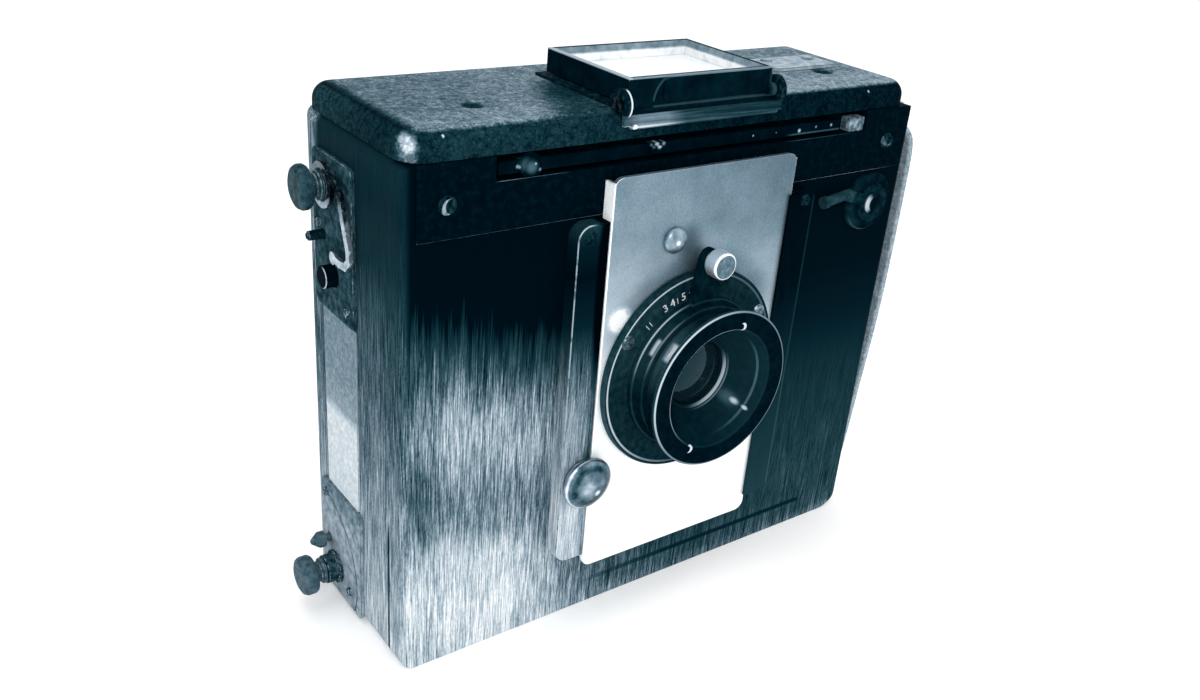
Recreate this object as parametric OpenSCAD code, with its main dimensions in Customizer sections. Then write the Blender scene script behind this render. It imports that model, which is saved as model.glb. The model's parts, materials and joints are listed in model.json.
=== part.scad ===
// Plate camera with a roller-blind shutter, a sliding lens board and a folding finder.
// Millimetres. X runs to the right seen from the front, Y to the back, Z up.
// The origin is the mouth of the tripod socket, in the middle of the underside.

/* [Case] */
// Width of the case
body_w = 170; // [160:1:185]
// Depth of the case, front to back
body_d = 55; // [55:0.5:62]
// Height of the case below the lid
body_h = 143; // [141:1:152]
// Thickness of the side and bottom walls
wall = 4; // [3:0.5:5]
// Thickness of the front wall
front_wall = 5; // [4.5:0.25:5.5]
// Thickness of the deck under the lid
deck_t = 3; // [2:0.5:4]
// Depth of the front casing, up to its joint with the rear casing
front_case_d = 9.6; // [8:0.2:12]
// Corner radius of the case, bottom right
foot_r = 9; // [4:0.5:12]
// Corner radius of the other three corners
corner_r = 3.5; // [2:0.5:5]
// Radius of the upright edges, seen from above
edge_r = 3; // [1:0.5:3.5]

/* [Lid] */
// Height of the lid
lid_h = 6.9; // [6:0.1:9]
// Wall of the lid
lid_wall = 2.2; // [1.5:0.1:3]
// How far the lid stays back from the case's right side
lid_inset = 2.6; // [1:0.1:4]
// Rounding of the lid's top edge
lid_round = 4.5; // [2:0.5:5]
// Rounding of the lid's corners, seen from above
lid_corner = 7; // [5:0.5:9]
// Radius of the lid's back corners, seen from above
lid_back_corner = 5; // [5:0.5:9]
// Radius of the lid's hinge knuckles
knuckle_r = 1.4; // [1.2:0.1:1.8]
// Number of knuckles along the hinge
knuckles = 9; // [5:2:13]

/* [Front band and latch] */
// Height of the metal band along the front's top
band_h = 18.4; // [16:0.2:22]
// How far the band stands proud
band_t = 0.5; // [0.3:0.1:0.6]
// Height of the latch recess
recess_h = 6; // [5:0.5:7]
// Depth of the latch recess behind the front
recess_d = 3.9; // [3.7:0.1:4]
// Travel of the latch bar
latch_travel = 4; // [2:0.5:5]

/* [Lens board] */
// Width of the lens board
board_w = 62.6; // [58:0.2:68]
// Height of the board's lower edge above the base
board_z = 17.6; // [15:0.2:18.2]
// Distance of the board's upper edge below the lid's seam
board_down = 8; // [6:0.5:14]
// How far the board's face stands in front of the case
board_proud = 4.5; // [4:0.1:5.5]
// Sheet thickness of the board
board_t = 1.3; // [1:0.1:1.6]
// Rise of the board
board_rise = 10; // [5:0.5:10]
// Width of the guide rails
rail_w = 9.5; // [7:0.5:12]
// Lower end of the guide rails
rail_z = 22; // [15:1:30]

/* [Lens] */
// Lens axis from the case's middle
lens_x = 1.5; // [-3:0.5:5]
// How far the lens axis sits under the board's middle
lens_down = 0.6; // [-2:0.1:4]
// Radius of the mounting flange
flange_r = 30.2; // [28:0.1:30.6]
// Radius of the focusing ring
focus_r = 22.6; // [21.5:0.1:24]
// Outer radius of the lens barrel
barrel_r = 18.8; // [17:0.1:19.3]
// Radius of the front rim
rim_r = 23.3; // [21:0.1:25]
// How far the lens reaches in front of the case
lens_reach = 19.5; // [18.5:0.1:22]
// Radius of the front glass
front_glass_r = 9.6; // [8:0.1:10.6]
// Radius of the rear glass
rear_glass_r = 12; // [10:0.1:12.5]
// Number of iris blades
iris_count = 8; // [6:1:12]
// Distance of the focusing knob from the lens axis
focus_knob_at = 34.4; // [33:0.1:36]
// Radius of the focusing knob
focus_knob_r = 3.9; // [3:0.1:4.5]

/* [Shutter] */
// Width of the picture gate
gate_w = 116; // [100:1:120]
// Height of the picture gate
gate_h = 86; // [76:1:90]
// How far the gate sits above the middle between the rollers
gate_up = 1.5; // [0:0.5:3]
// Height of the slit in the curtain
slit_h = 10; // [2:1:20]
// Wound radius of the upper roller
roller_up_r = 6.2; // [5.5:0.1:6.4]
// Wound radius of the lower roller
roller_low_r = 4.2; // [3.5:0.1:4.6]
// Radius of the winding and tension shafts
shaft_r = 2; // [1.5:0.1:2.2]
// Teeth of each ratchet wheel
ratchet_teeth = 16; // [12:4:20]
// Radius of the winding ratchet
ratchet_up_r = 7; // [6.5:0.1:7.1]
// Radius of the tension ratchet
ratchet_low_r = 5; // [4.8:0.1:5.1]
// Radius of the winding and tension knobs
knob_r = 5.75; // [5:0.25:7]
// Thickness of the knobs' heads
knob_t = 4.4; // [3:0.2:6]

/* [Back] */
// Thickness of the focusing frame
frame_t = 7; // [6:0.5:7]
// Height of the sill under the focusing frame
sill_z = 12; // [9:0.5:14]
// Height of the lintel over the focusing frame
lintel = 9; // [8:0.5:12]
// Thickness of the ground glass
glass_t = 1.8; // [1.2:0.2:2.4]

/* [Finder] */
// Width of the finder's frame
finder_w = 48; // [40:1:56]
// Depth of the finder's frame when folded
finder_d = 36; // [30:1:40]
// Height of the finder's frame
finder_h = 6.3; // [5.5:0.1:8]
// Wall of the finder's frame
finder_wall = 1.5; // [1:0.1:2]

/* [Strap] */
// Width of the hand strap
strap_w = 20; // [16:1:24]
// Thickness of the hand strap
strap_t = 2.2; // [1.6:0.2:3]
// How far the strap bows out from the side
strap_bow = 9.2; // [8:0.2:14]

/* [Hidden] */
$fn = 48;

// Clearances
running = 0.05;
slide_gap = 0.2;
face_gap = 0.3;
eps = 0.01;

// Faces of the case
front_y = -body_d / 2;
back_y = body_d / 2;
left_x = -body_w / 2;
right_x = body_w / 2;
joint_y = front_y + front_case_d;
inner_w = body_w - 2 * wall;
deck_z = body_h - deck_t;
hatch_w = 120;
hatch_d = 22;
hatch_in = 5;

// Front band and latch recess
band_z = body_h - band_h;
recess_z = body_h - recess_h;
recess_x0 = left_x + 23.6;
recess_x1 = right_x - 21.5;
recess_back = front_y + recess_d;
band_end = edge_r + 0.2;
bar_h = 3;
bar_t = 2;
bar_z = recess_z + 1.2;
bar_y = front_y + 0.3;
block_w = 6;
catch_x = 35;
catch_w = 9;
catch_t = 0.8;
catch_y = bar_y + bar_t + 0.5;
lug_gap = 0.4;
lug_w = 3.6;
lug_h = 1.2;
lug_z = bar_z + 1.5;

// Screws in the front: place, height above the front, head radius
screw_shank_r = 1.1;
band_screw_r = 2.4;
band_screw_in = 11;
band_screw_z = body_h - 10;
rail_screw_in = 3.4;

// Lens board and rails
board_x0 = lens_x - board_w / 2;
board_x1 = lens_x + board_w / 2;
board_corner = 3;
flange_drop = 1.4;
board_h = body_h - board_down - board_z;
lens_z = board_z + board_h / 2 - lens_down;
rail_h = band_z - 0.8 - rail_z;
flange_gap = band_t + 0.1;
rail_in = board_w / 2 + slide_gap;
rail_mid = rail_in + rail_w / 2;
rail_top = rail_z + rail_h;
rail_round = 4;
lip_over = 0.8;
lip_t = 0.75;
lip_w = 2.6;
lock_x = lens_x - rail_in - 2.5;
lock_up = 27;
lock_z = rail_z + lock_up;
lock_r = 7.7;
lock_stem_r = 1.6;
stop_left = 10;
stop_up = 40.1;
stop_x = lens_x - stop_left;
stop_z = lens_z + stop_up;
stop_r = 3.7;

// Lens
flange_t = 2;
flange_top = board_proud + flange_t;
lens_hole_r = barrel_r + 1.2;
flange_screw_at = 27.2;
flange_screw_r = 2.1;
flange_angles = [30, 150, 270];
focus_z0 = flange_top + slide_gap;
focus_z1 = focus_z0 + 1.5;
focus_top = focus_z0 + 4.3;
focus_neck_r = focus_r - 1.4;
arm_z = focus_z0 + 0.1;
arm_t = 2.2;
knob_stem_r = 1.45;
barrel_front = lens_reach - 1.5;
barrel_wall = 1.2;
barrel_rear = -6;
rear_cell_r = rear_glass_r + 3;
rear_cell_end = -12;
diaphragm_z = 5;
aperture_z0 = focus_top + 0.5;
aperture_z1 = barrel_front - 0.4;
aperture_r = barrel_r + 1.1;
funnel_end = lens_reach - 12.3;
lens_window_w = 2 * lens_hole_r + 4;
lens_window_h = lens_window_w + board_rise + 4;
lens_window_z = lens_z + board_rise / 2;

// Shutter
curtain_y = 17;
curtain_t = 0.4;
up_y = curtain_y - face_gap - roller_up_r;
up_z = body_h - 15.3;
low_y = curtain_y - face_gap - roller_low_r;
low_z = wall + 6;
gate_z = (low_z + roller_low_r + up_z - roller_up_r) / 2 + gate_up;
roller_x0 = lens_x - gate_w / 2 - 5;
roller_x1 = lens_x + gate_w / 2 + 5;
bush_r = 3;
bush_collar_r = 4.2;
bush_collar = 4;
plate_t = 1;
plate_x = left_x - plate_t;
bush_x = plate_x - bush_collar;
knob_x = bush_x - 0.3;
knob_neck = 3;
knob_out = knob_x - knob_neck - knob_t;
// The winding knob stands nearer to its plate, and its head is thinner
wind_in = 1.8;
wind_knob_t = knob_t - 1;
ratchet_x = left_x + wall + 2.5;
ratchet_t = 2;
// Angle at which the pawls stand lifted off their wheels
pawl_lift = 9;
gate_y = curtain_y + curtain_t + 0.4;
gate_t = 1.1;

// Back
back_seat = gate_y + gate_t;
frame_y = back_seat + 0.4;
back_open_h = body_h - sill_z - lintel;
rail_plate_t = 0.9;
rail_plate_y = back_y - rail_plate_t;
back_frame_t = min(frame_t, rail_plate_y - 0.3 - back_seat - 0.4);
frame_top = sill_z + back_open_h;
glass_edge = 4;
glass_seat = 1.3;
glass_y = frame_y + glass_seat;

// Left side pieces, as places along Y and Z
upper_plate_h = 42.5;
upper_plate = [-2.5, body_h - 8 - upper_plate_h, 23, upper_plate_h];
lower_plate = [-3.9, 1, 25.4, 36];
inlay_in = 0.3;
lever_t = 1.1;
release_y = 9.2;
release_z = up_z - 24;
release_r = 3;
release_out = 3.2;
push_travel = 1.5;
stop_pin_y = 15;
stop_pin_z = up_z - 14.7;
stop_pin_r = 1.3;
brake_pin_y = low_y + 4.5;
brake_pin_z = low_z + 7.5;
brake_pin_r = 2.4;
button_depth = 2.6;

// Front dial
dial_x = right_x - 15;
dial_z = band_z - 9.7;
dial_r = 9;
dial_t = 1.7;
dial_boss_r = 3.5;
dial_boss = 3.6;

// Lid
lid_z = body_h + 0.1;
lid_top = lid_z + lid_h;
lid_x0 = left_x + 0.6;
lid_x1 = right_x - lid_inset;
lid_y0 = front_y + 0.2;
lid_y1 = back_y - 0.4;
hinge_y = back_y + knuckle_r;
pin_r = knuckle_r / 2;
leaf_t = 0.8;
hinge_len = body_w - 24;
knuckle_gap = 0.2;
knuckle_l = hinge_len / knuckles;

// Finder
base_t = 0.8;
base_z = lid_top + base_t;
finder_x = lens_x - 0.5;
finder_y0 = front_y + 2.5;
finder_z = base_z + 0.4;
pivot_y = front_y + 2.1;
pivot_r = 1.8;
pivot_z = base_z + 0.7;
pivot_pin_r = 1;
ear_r = 3.9;
ear_t = 1.4;
ear_x = finder_w / 2 + 1.2;
apron_t = 0.35;
apron_z = lid_top - 0.25;
ledge = 1.2;

// Strap
strap_y = front_y + 6;
strap_z0 = 3;
strap_z1 = body_h - 3;
strap_end = 6.5;
strap_steps = 40;
strap_shape = [[0, 0], [0.02, 0.2], [0.05, 0.34], [0.14, 0.47], [0.3, 0.68], [0.42, 0.86], [0.54, 0.97],
    [0.66, 1], [0.78, 1], [0.88, 0.97], [0.93, 0.9], [0.965, 0.7], [0.985, 0.35], [1, 0]];

// Tripod socket
socket_r = 3.97;
socket_len = 8;
socket_body_r = 6.5;
socket_flange_r = 11;
socket_flange_t = 1.2;

// Rectangle with round corners, centred
module round_rect(w, h, r) {
    square([w - 2 * r, h], center = true);
    square([w, h - 2 * r], center = true);
    for (x = [-1, 1], y = [-1, 1])
        translate([x * (w / 2 - r), y * (h / 2 - r)]) circle(r);
}

// Drawing plane facing the front: drawn x stays X, drawn y is Z, height runs forward
module facing_front(y) {
    translate([0, y, 0]) rotate([90, 0, 0]) children();
}

// Drawing plane along the side: drawn x is Y, drawn y is Z, height runs to +X from x
module from_side(x) {
    translate([x, 0, 0]) rotate([90, 0, 90]) children();
}

// Lens axis: height is measured forward from the front of the case
module on_lens() {
    translate([lens_x, 0, lens_z]) facing_front(front_y) children();
}

// Outline of the case, seen from the front
module case_outline() {
    difference() {
        translate([left_x, 0]) square([body_w, body_h]);
        translate([left_x - eps, -eps]) square(corner_r + eps);
        translate([left_x - eps, body_h - corner_r]) square(corner_r + eps);
        translate([right_x - corner_r, body_h - corner_r]) square(corner_r + eps);
        translate([right_x - foot_r, -eps]) square(foot_r + eps);
    }
    for (x = [left_x + corner_r, right_x - corner_r])
        translate([x, body_h - corner_r]) circle(corner_r);
    translate([left_x + corner_r, corner_r]) circle(corner_r);
    translate([right_x - foot_r, foot_r]) circle(foot_r);
}

// Case block between two depths, with its upright edges rounded
module case_block(y0, y1) {
    intersection() {
        facing_front(y1) linear_extrude(y1 - y0) case_outline();
        translate([0, 0, -eps]) linear_extrude(body_h + 1) round_rect(body_w, body_d, edge_r);
    }
}

// Slotted screw, head on the drawing plane, shank below it
module screw(head_r, head_t, shank) {
    difference() {
        union() {
            cylinder(r1 = head_r, r2 = head_r * 0.8, h = head_t);
            translate([0, 0, -shank]) cylinder(r = screw_shank_r, h = shank + eps);
        }
        translate([-head_r, -0.3, head_t * 0.5]) cube([2 * head_r, 0.6, 1]);
    }
}

module screw_hole(depth) {
    translate([0, 0, -depth]) cylinder(r = screw_shank_r + running, h = depth + 1);
}

// Places of the band's screws and the rails' screws, as [x, z]
band_screw_spots = [[left_x + band_screw_in, band_screw_z], [right_x - band_screw_in, band_screw_z]];
rail_screw_spots = [for (s = [-1, 1]) [lens_x + s * (rail_mid + 1), rail_top - rail_screw_in]];

module body_shell() {
    color("#16333d") difference() {
        case_block(joint_y, back_y);
        // Room for the shutter
        translate([left_x + wall, joint_y - 1, wall])
            cube([inner_w, back_seat - joint_y + 1, deck_z - wall]);
        // Opening for the focusing frame, open to the right
        translate([left_x + wall, back_seat - eps, sill_z])
            cube([body_w, body_d, back_open_h]);
        // Seat of the back rails
        translate([left_x + wall, rail_plate_y, wall - 1.5])
            cube([body_w, wall, deck_z + 1 - wall + 1.5]);
        // Hatch in the deck
        translate([-hatch_w / 2, joint_y + hatch_in, deck_z - 1]) cube([hatch_w, hatch_d, deck_t + 2]);
        // Shafts and pins through the left wall
        for (p = [[up_y, up_z], [low_y, low_z]])
            from_side(left_x - 1) translate(p) cylinder(r = bush_r + running, h = wall + 2);
        // Blind bearings in the right wall
        for (p = [[up_y, up_z], [low_y, low_z]])
            from_side(right_x - wall - 1) translate(p) cylinder(r = shaft_r + running, h = 3);
        // Wells of the push buttons
        from_side(left_x - 1) translate([release_y, release_z])
            cylinder(r = release_r + face_gap, h = button_depth + 1);
        from_side(left_x - 1) translate([stop_pin_y, stop_pin_z])
            cylinder(r = stop_pin_r + face_gap, h = button_depth + 1);
        from_side(left_x - 1) translate([brake_pin_y, brake_pin_z])
            cylinder(r = brake_pin_r / 2 + face_gap, h = button_depth + 1);
        // Seat of the tripod socket
        translate([0, 0, -eps]) cylinder(r = socket_flange_r + running, h = socket_flange_t + eps);
        translate([0, 0, -eps]) cylinder(r = socket_body_r + running, h = wall + 1);
    }
    // Pins that carry the pawls
    color("#16333d") for (p = [pawl_pivot(up_y, up_z, ratchet_up_r), pawl_pivot(low_y, low_z, ratchet_low_r)])
        from_side(left_x + wall - eps) translate(p)
            cylinder(r = 1, h = ratchet_x + ratchet_t + 0.5 - left_x - wall);
}

module front_case() {
    color("#0c222b") difference() {
        case_block(front_y, joint_y);
        // Room behind the front wall
        translate([left_x + wall, front_y + front_wall, wall])
            cube([inner_w, front_case_d, deck_z - wall]);
        // Window behind the lens board
        translate([lens_x - lens_window_w / 2, front_y - 1, lens_window_z - lens_window_h / 2])
            cube([lens_window_w, front_wall + 2, lens_window_h]);
        latch_recess();
        for (p = band_screw_spots) facing_front(front_y) translate(p) screw_hole(3);
        for (p = rail_screw_spots) facing_front(front_y) translate(p) screw_hole(3);
        facing_front(front_y) translate([dial_x, dial_z]) screw_hole(3);
    }
}

module latch_recess() {
    translate([recess_x0, front_y - 2, recess_z])
        cube([recess_x1 - recess_x0, recess_d + 2, recess_h + 1]);
}

module front_band() {
    color("#0a1d26") difference() {
        facing_front(front_y) linear_extrude(band_t) intersection() {
            case_outline();
            translate([left_x + band_end, band_z]) square([body_w - 2 * band_end, band_h]);
        }
        latch_recess();
        for (p = band_screw_spots) facing_front(front_y) translate(p) screw_hole(3);
    }
}

module front_screws() {
    color("#9fb0b8") {
        for (p = band_screw_spots)
            facing_front(front_y - band_t) translate(p) rotate(65) screw(band_screw_r, 0.9, 2.5);
        for (p = rail_screw_spots)
            facing_front(front_y - board_proud) translate(p) rotate(40) screw(1.8, 0.6, 5);
    }
}

// Guide rail, drawn beside the board on side s
module rail(s) {
    difference() {
        facing_front(front_y) linear_extrude(board_proud) difference() {
            translate([lens_x + s * rail_mid, rail_z + rail_h / 2]) union() {
                translate([-s * rail_w / 4, 0]) square([rail_w / 2 + eps, rail_h], center = true);
                round_rect(rail_w, rail_h, rail_round);
            }
        }
        for (p = rail_screw_spots) facing_front(front_y - board_proud) translate(p) screw_hole(6);
    }
}

module rail_left() {
    color("#0a1d26") difference() {
        rail(-1);
        facing_front(front_y - 1) translate([lock_x, lock_z]) cylinder(r = lock_stem_r + running, h = board_proud);
    }
}

module rail_right() {
    color("#0a1d26") {
        rail(1);
        // Lip that holds the board's right edge
        translate([board_x1 + slide_gap, front_y - board_proud - slide_gap - lip_t, rail_z + 1])
            cube([lip_w, lip_t + slide_gap + 0.2, rail_h - 2]);
        translate([board_x1 - lip_over, front_y - board_proud - slide_gap - lip_t, rail_z + 1])
            cube([lip_over + slide_gap + lip_w, lip_t, rail_h - 2]);
    }
}

// Plate on the left side: spot is [y, z, width, height]
module side_plate(spot, r, t) {
    from_side(left_x - t) linear_extrude(t)
        translate([spot[0] + spot[2] / 2, spot[1] + spot[3] / 2]) round_rect(spot[2], spot[3], r);
}

module side_plate_upper() {
    color("#5d7079") difference() {
        side_plate(upper_plate, 2, plate_t);
        from_side(plate_x - 1) translate([up_y, up_z]) cylinder(r = bush_r + running, h = 3);
        from_side(plate_x - 1) translate([release_y, release_z]) cylinder(r = release_r + face_gap, h = 3);
        from_side(plate_x - 1) translate([stop_pin_y, stop_pin_z]) cylinder(r = stop_pin_r + face_gap, h = 3);
    }
}

module side_inlay() {
    z0 = lower_plate[1] + lower_plate[3] + inlay_in;
    z1 = upper_plate[1] - inlay_in;
    color("#a9b7bf") side_plate([upper_plate[0], z0, upper_plate[2] - 3, z1 - z0], 0.8, 0.5);
}

module side_plate_lower() {
    color("#8496a0") difference() {
        side_plate(lower_plate, 2, plate_t);
        from_side(plate_x - 1) translate([low_y, low_z]) cylinder(r = bush_r + running, h = 3);
        from_side(plate_x - 1) translate([brake_pin_y, brake_pin_z])
            cylinder(r = brake_pin_r / 2 + face_gap, h = 3);
        // Engraved arc that marks the brake's settings
        from_side(plate_x - eps) translate([low_y + 9, low_z]) difference() {
            cylinder(r = 23, h = 0.3);
            translate([0, 0, -1]) cylinder(r = 22.4, h = 3);
            translate([0, -40, -1]) cube([60, 80, 3]);
        }
    }
}

module side_studs() {
    color("#b9c4ca") {
        for (p = [[upper_plate[0] + 3, upper_plate[1] + 4], [low_y - 9.3, low_z - 3.1], [low_y + 5.5, low_z + 23]])
            from_side(plate_x - 0.8) translate(p) cylinder(r = 1.3, h = 0.8);
        from_side(plate_x - 0.7) translate([stop_pin_y + 2, stop_pin_z + 2.6]) cylinder(r = 1.1, h = 0.7);
    }
}

module shaft_bushes() {
    color("#7d8f98") for (b = [[up_y, up_z, wind_in], [low_y, low_z, 0]]) difference() {
        p = [b[0], b[1]];
        union() {
            from_side(bush_x + b[2]) translate(p) cylinder(r = bush_collar_r, h = bush_collar - b[2] - 0.5);
            from_side(plate_x - 1) translate(p) cylinder(r = bush_collar_r + 0.8, h = 1);
            from_side(plate_x - eps) translate(p) cylinder(r = bush_r, h = plate_t + wall);
        }
        from_side(bush_x - 1) translate(p) cylinder(r = shaft_r + running, h = 20);
    }
}

// Tapered light chamber, from the lens window to the gate
module light_chamber() {
    front = front_y + front_wall;
    rear = curtain_y - face_gap;
    skin = 1.2;
    color("#1a1f22") difference() {
        hull() {
            chamber_ring(front, lens_window_w, lens_window_h, lens_window_z);
            chamber_ring(rear - 1, gate_w + 2 * skin, gate_h + 2 * skin, gate_z);
        }
        hull() {
            chamber_ring(front - 0.5, lens_window_w - 2 * skin, lens_window_h - 2 * skin, lens_window_z);
            chamber_ring(rear - 0.5, gate_w, gate_h, gate_z);
        }
    }
}

module chamber_ring(y, w, h, z) {
    translate([lens_x - w / 2, y, z - h / 2]) cube([w, 1, h]);
}

module gate_frame() {
    color("#2b2f31") difference() {
        translate([left_x + wall, gate_y, wall]) cube([inner_w, gate_t, deck_z - wall]);
        translate([lens_x - gate_w / 2, gate_y - 1, gate_z - gate_h / 2]) cube([gate_w, gate_t + 2, gate_h]);
    }
}

// Blind with its slit, stretched between the rollers
module shutter_curtain() {
    slit_w = gate_w - 6;
    color("#23282b") difference() {
        translate([roller_x0 + 1, curtain_y, low_z]) cube([roller_x1 - roller_x0 - 2, curtain_t, up_z - low_z]);
        translate([lens_x - slit_w / 2, curtain_y - 1, gate_z - slit_h / 2]) cube([slit_w, 3, slit_h]);
    }
}

module roller(y, z, r, out) {
    from_side(roller_x0) translate([y, z]) cylinder(r = r, h = roller_x1 - roller_x0);
    for (x = [roller_x0 - 1.2, roller_x1])
        from_side(x) translate([y, z]) cylinder(r = r - 0.6, h = 1.2);
    from_side(out + 1) translate([y, z])
        cylinder(r = shaft_r, h = right_x - wall + 1.8 - out - 1);
}

module upper_roller() {
    color("#6b5a3c") roller(up_y, up_z, roller_up_r, knob_x + wind_in - knob_neck - wind_knob_t);
}

module lower_roller() {
    color("#6b5a3c") roller(low_y, low_z, roller_low_r, knob_out);
}

// Turned knob with a waisted neck, on a shaft at y, z, with its foot at x and a head of thickness t
module shaft_knob(y, z, x, t) {
    r = knob_r;
    head = knob_neck;
    top = knob_neck + t;
    bore = shaft_r + 0.02;
    from_side(x) translate([y, z]) mirror([0, 0, 1]) difference() {
        rotate_extrude() polygon([[0, 0], [bush_collar_r - 0.4, 0], [bush_collar_r - 0.4, 0.8],
            [r * 0.52, 1.4], [r * 0.5, head - 0.5], [r * 0.8, head], [r - 0.4, head + 0.2],
            [r, head + 0.9], [r, top - 1.4], [r - 0.5, top - 0.5], [r - 1.6, top], [0, top]]);
        translate([0, 0, -1]) cylinder(r = bore, h = top);
    }
}

module wind_knob() {
    color("#3f525b") shaft_knob(up_y, up_z, knob_x + wind_in, wind_knob_t);
}

module tension_knob() {
    color("#3f525b") shaft_knob(low_y, low_z, knob_x, knob_t);
}

// Saw-toothed wheel: each tooth has one radial face
function tooth_points(r) = [for (i = [0 : ratchet_teeth - 1], k = [0, 1])
    let (a = i * 360 / ratchet_teeth, q = k == 0 ? r * 0.8 : r) [q * cos(a), q * sin(a)]];

module ratchet(y, z, r) {
    from_side(ratchet_x) translate([y, z]) difference() {
        union() {
            linear_extrude(ratchet_t) polygon(tooth_points(r));
            cylinder(r = r * 0.55, h = ratchet_t + 1.5);
        }
        translate([0, 0, -1]) cylinder(r = shaft_r + 0.02, h = ratchet_t + 4);
    }
}

module wind_ratchet() {
    color("#b08d45") ratchet(up_y, up_z, ratchet_up_r);
}

module tension_ratchet() {
    color("#b08d45") ratchet(low_y, low_z, ratchet_low_r);
}

// Pivot of the pawl of a wheel of radius r
function pawl_pivot(y, z, r) = [y - 1.25 * r, z + 1.23 * r];

function pawl_points(k) = [[-6.6 * k, 0.45 * k], [-7.9 * k, 0.45 * k], [-11.2 * k, 8.2 * k],
    [-7.6 * k, 9.2 * k], [-7.35 * k, 2.6 * k]];

module pawl(y, z, r) {
    from_side(ratchet_x + 0.1) difference() {
        union() {
            translate(pawl_pivot(y, z, r)) rotate(-pawl_lift) translate([1.25 * r, -1.23 * r])
                linear_extrude(ratchet_t - 0.2) polygon(pawl_points(r / 7.5));
            translate(pawl_pivot(y, z, r)) cylinder(r = 1.05 + 0.12 * r, h = ratchet_t - 0.2);
        }
        translate([0, 0, -1]) translate(pawl_pivot(y, z, r)) cylinder(r = 1 + running, h = 5);
    }
}

module wind_pawl() {
    color("#c7ced1") pawl(up_y, up_z, ratchet_up_r);
}

module tension_pawl() {
    color("#c7ced1") pawl(low_y, low_z, ratchet_low_r);
}

// Bent lever that hangs from the winding bush, with a hooked foot
lever_path = [[-3.6, 3.4], [-8, 2.6], [-10.4, 0.4], [-11.6, -3], [-13.4, -8], [-15.2, -12.4],
    [-15.2, -15.2], [-13.2, -17], [-9.6, -17.4], [-6.4, -17]];

module lever_leg(a, b) {
    run = norm(b - a);
    translate(a) rotate(atan2(b[1] - a[1], b[0] - a[0])) translate([0, -1, 0]) cube([run, 2, lever_t]);
    translate(b) cylinder(r = 1.08, h = lever_t, $fn = 24);
}

module brake_lever() {
    hub_in = bush_collar_r + running;
    color("#c9d2d6") from_side(plate_x - 1.1 - lever_t) translate([up_y, up_z]) difference() {
        union() {
            cylinder(r = hub_in + 1.6, h = lever_t);
            for (i = [1 : len(lever_path) - 1]) lever_leg(lever_path[i - 1], lever_path[i]);
            translate([-6, -17.2, 0]) cylinder(r = 1.7, h = lever_t, $fn = 24);
        }
        translate([0, 0, -1]) cylinder(r = hub_in, h = lever_t + 2);
    }
}

// Round push button in a well of the left wall, with its rim outside
module push_button(y, z, r, out) {
    from_side(plate_x - out) translate([y, z])
        cylinder(r = r, h = out + plate_t + button_depth - push_travel - 0.3);
}

module release_button() {
    color("#4c6069") push_button(release_y, release_z, release_r, release_out);
}

module wind_stop_pin() {
    color("#2f444d") {
        push_button(stop_pin_y, stop_pin_z, stop_pin_r, 4);
        from_side(plate_x - 4.4) translate([stop_pin_y, stop_pin_z]) cylinder(r = stop_pin_r * 0.7, h = 0.5);
    }
}

// Pointed knob that sets the blind's brake
module brake_pin() {
    color("#2f444d") {
        push_button(brake_pin_y, brake_pin_z, brake_pin_r / 2, 2);
        from_side(plate_x - 3.6) translate([brake_pin_y, brake_pin_z]) cylinder(r = brake_pin_r, h = 1.8);
        from_side(plate_x - 6) translate([brake_pin_y, brake_pin_z])
            cylinder(r1 = 0.6, r2 = brake_pin_r, h = 2.4);
    }
}

module back_rails() {
    lap = 3;
    color("#3a4b53") intersection() {
        case_block(rail_plate_y, back_y);
        for (z = [[wall - 1.5, sill_z + lap], [frame_top - lap, deck_z + 1]])
            translate([left_x + wall, rail_plate_y, z[0]]) cube([body_w - wall, rail_plate_t, z[1] - z[0]]);
    }
}

// Knuckle k of the hinge
module knuckle(k) {
    from_side(-hinge_len / 2 + k * knuckle_l + knuckle_gap / 2) translate([hinge_y, body_h])
        cylinder(r = knuckle_r, h = knuckle_l - knuckle_gap);
}

module hinge_bore() {
    from_side(-hinge_len / 2 - 1) translate([hinge_y, body_h]) cylinder(r = pin_r + running, h = hinge_len + 2);
}

module case_hinge_leaf() {
    leaf_top = body_h - knuckle_r - 0.3;
    color("#51636c") difference() {
        union() {
            translate([-hinge_len / 2, back_y, leaf_top - 6]) cube([hinge_len, leaf_t, 6]);
            for (k = [0 : 2 : knuckles - 1]) {
                knuckle(k);
                translate([-hinge_len / 2 + k * knuckle_l + knuckle_gap / 2, back_y, leaf_top - 1])
                    cube([knuckle_l - knuckle_gap, leaf_t, body_h - leaf_top + 0.6]);
            }
        }
        hinge_bore();
    }
}

module lid_hinge_leaf() {
    leaf_bottom = body_h + knuckle_r + 0.3;
    color("#51636c") difference() {
        union() {
            translate([-hinge_len / 2, lid_y1, leaf_bottom])
                cube([hinge_len, leaf_t, lid_top - lid_round - leaf_bottom + 0.6]);
            for (k = [1 : 2 : knuckles - 1]) {
                knuckle(k);
                translate([-hinge_len / 2 + k * knuckle_l + knuckle_gap / 2, lid_y1, body_h + 0.5])
                    cube([knuckle_l - knuckle_gap, leaf_t + 0.2, leaf_bottom - body_h]);
            }
        }
        hinge_bore();
    }
}

module hinge_pin() {
    color("#8b9aa2") from_side(-hinge_len / 2 - 0.4) translate([hinge_y, body_h])
        cylinder(r = pin_r, h = hinge_len + 0.8);
}

module tripod_socket() {
    color("#a8874a") difference() {
        union() {
            cylinder(r = socket_flange_r, h = socket_flange_t);
            cylinder(r = socket_body_r, h = socket_len + 1.2);
        }
        translate([0, 0, -1]) cylinder(r = socket_r, h = socket_len + 1);
    }
}

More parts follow.
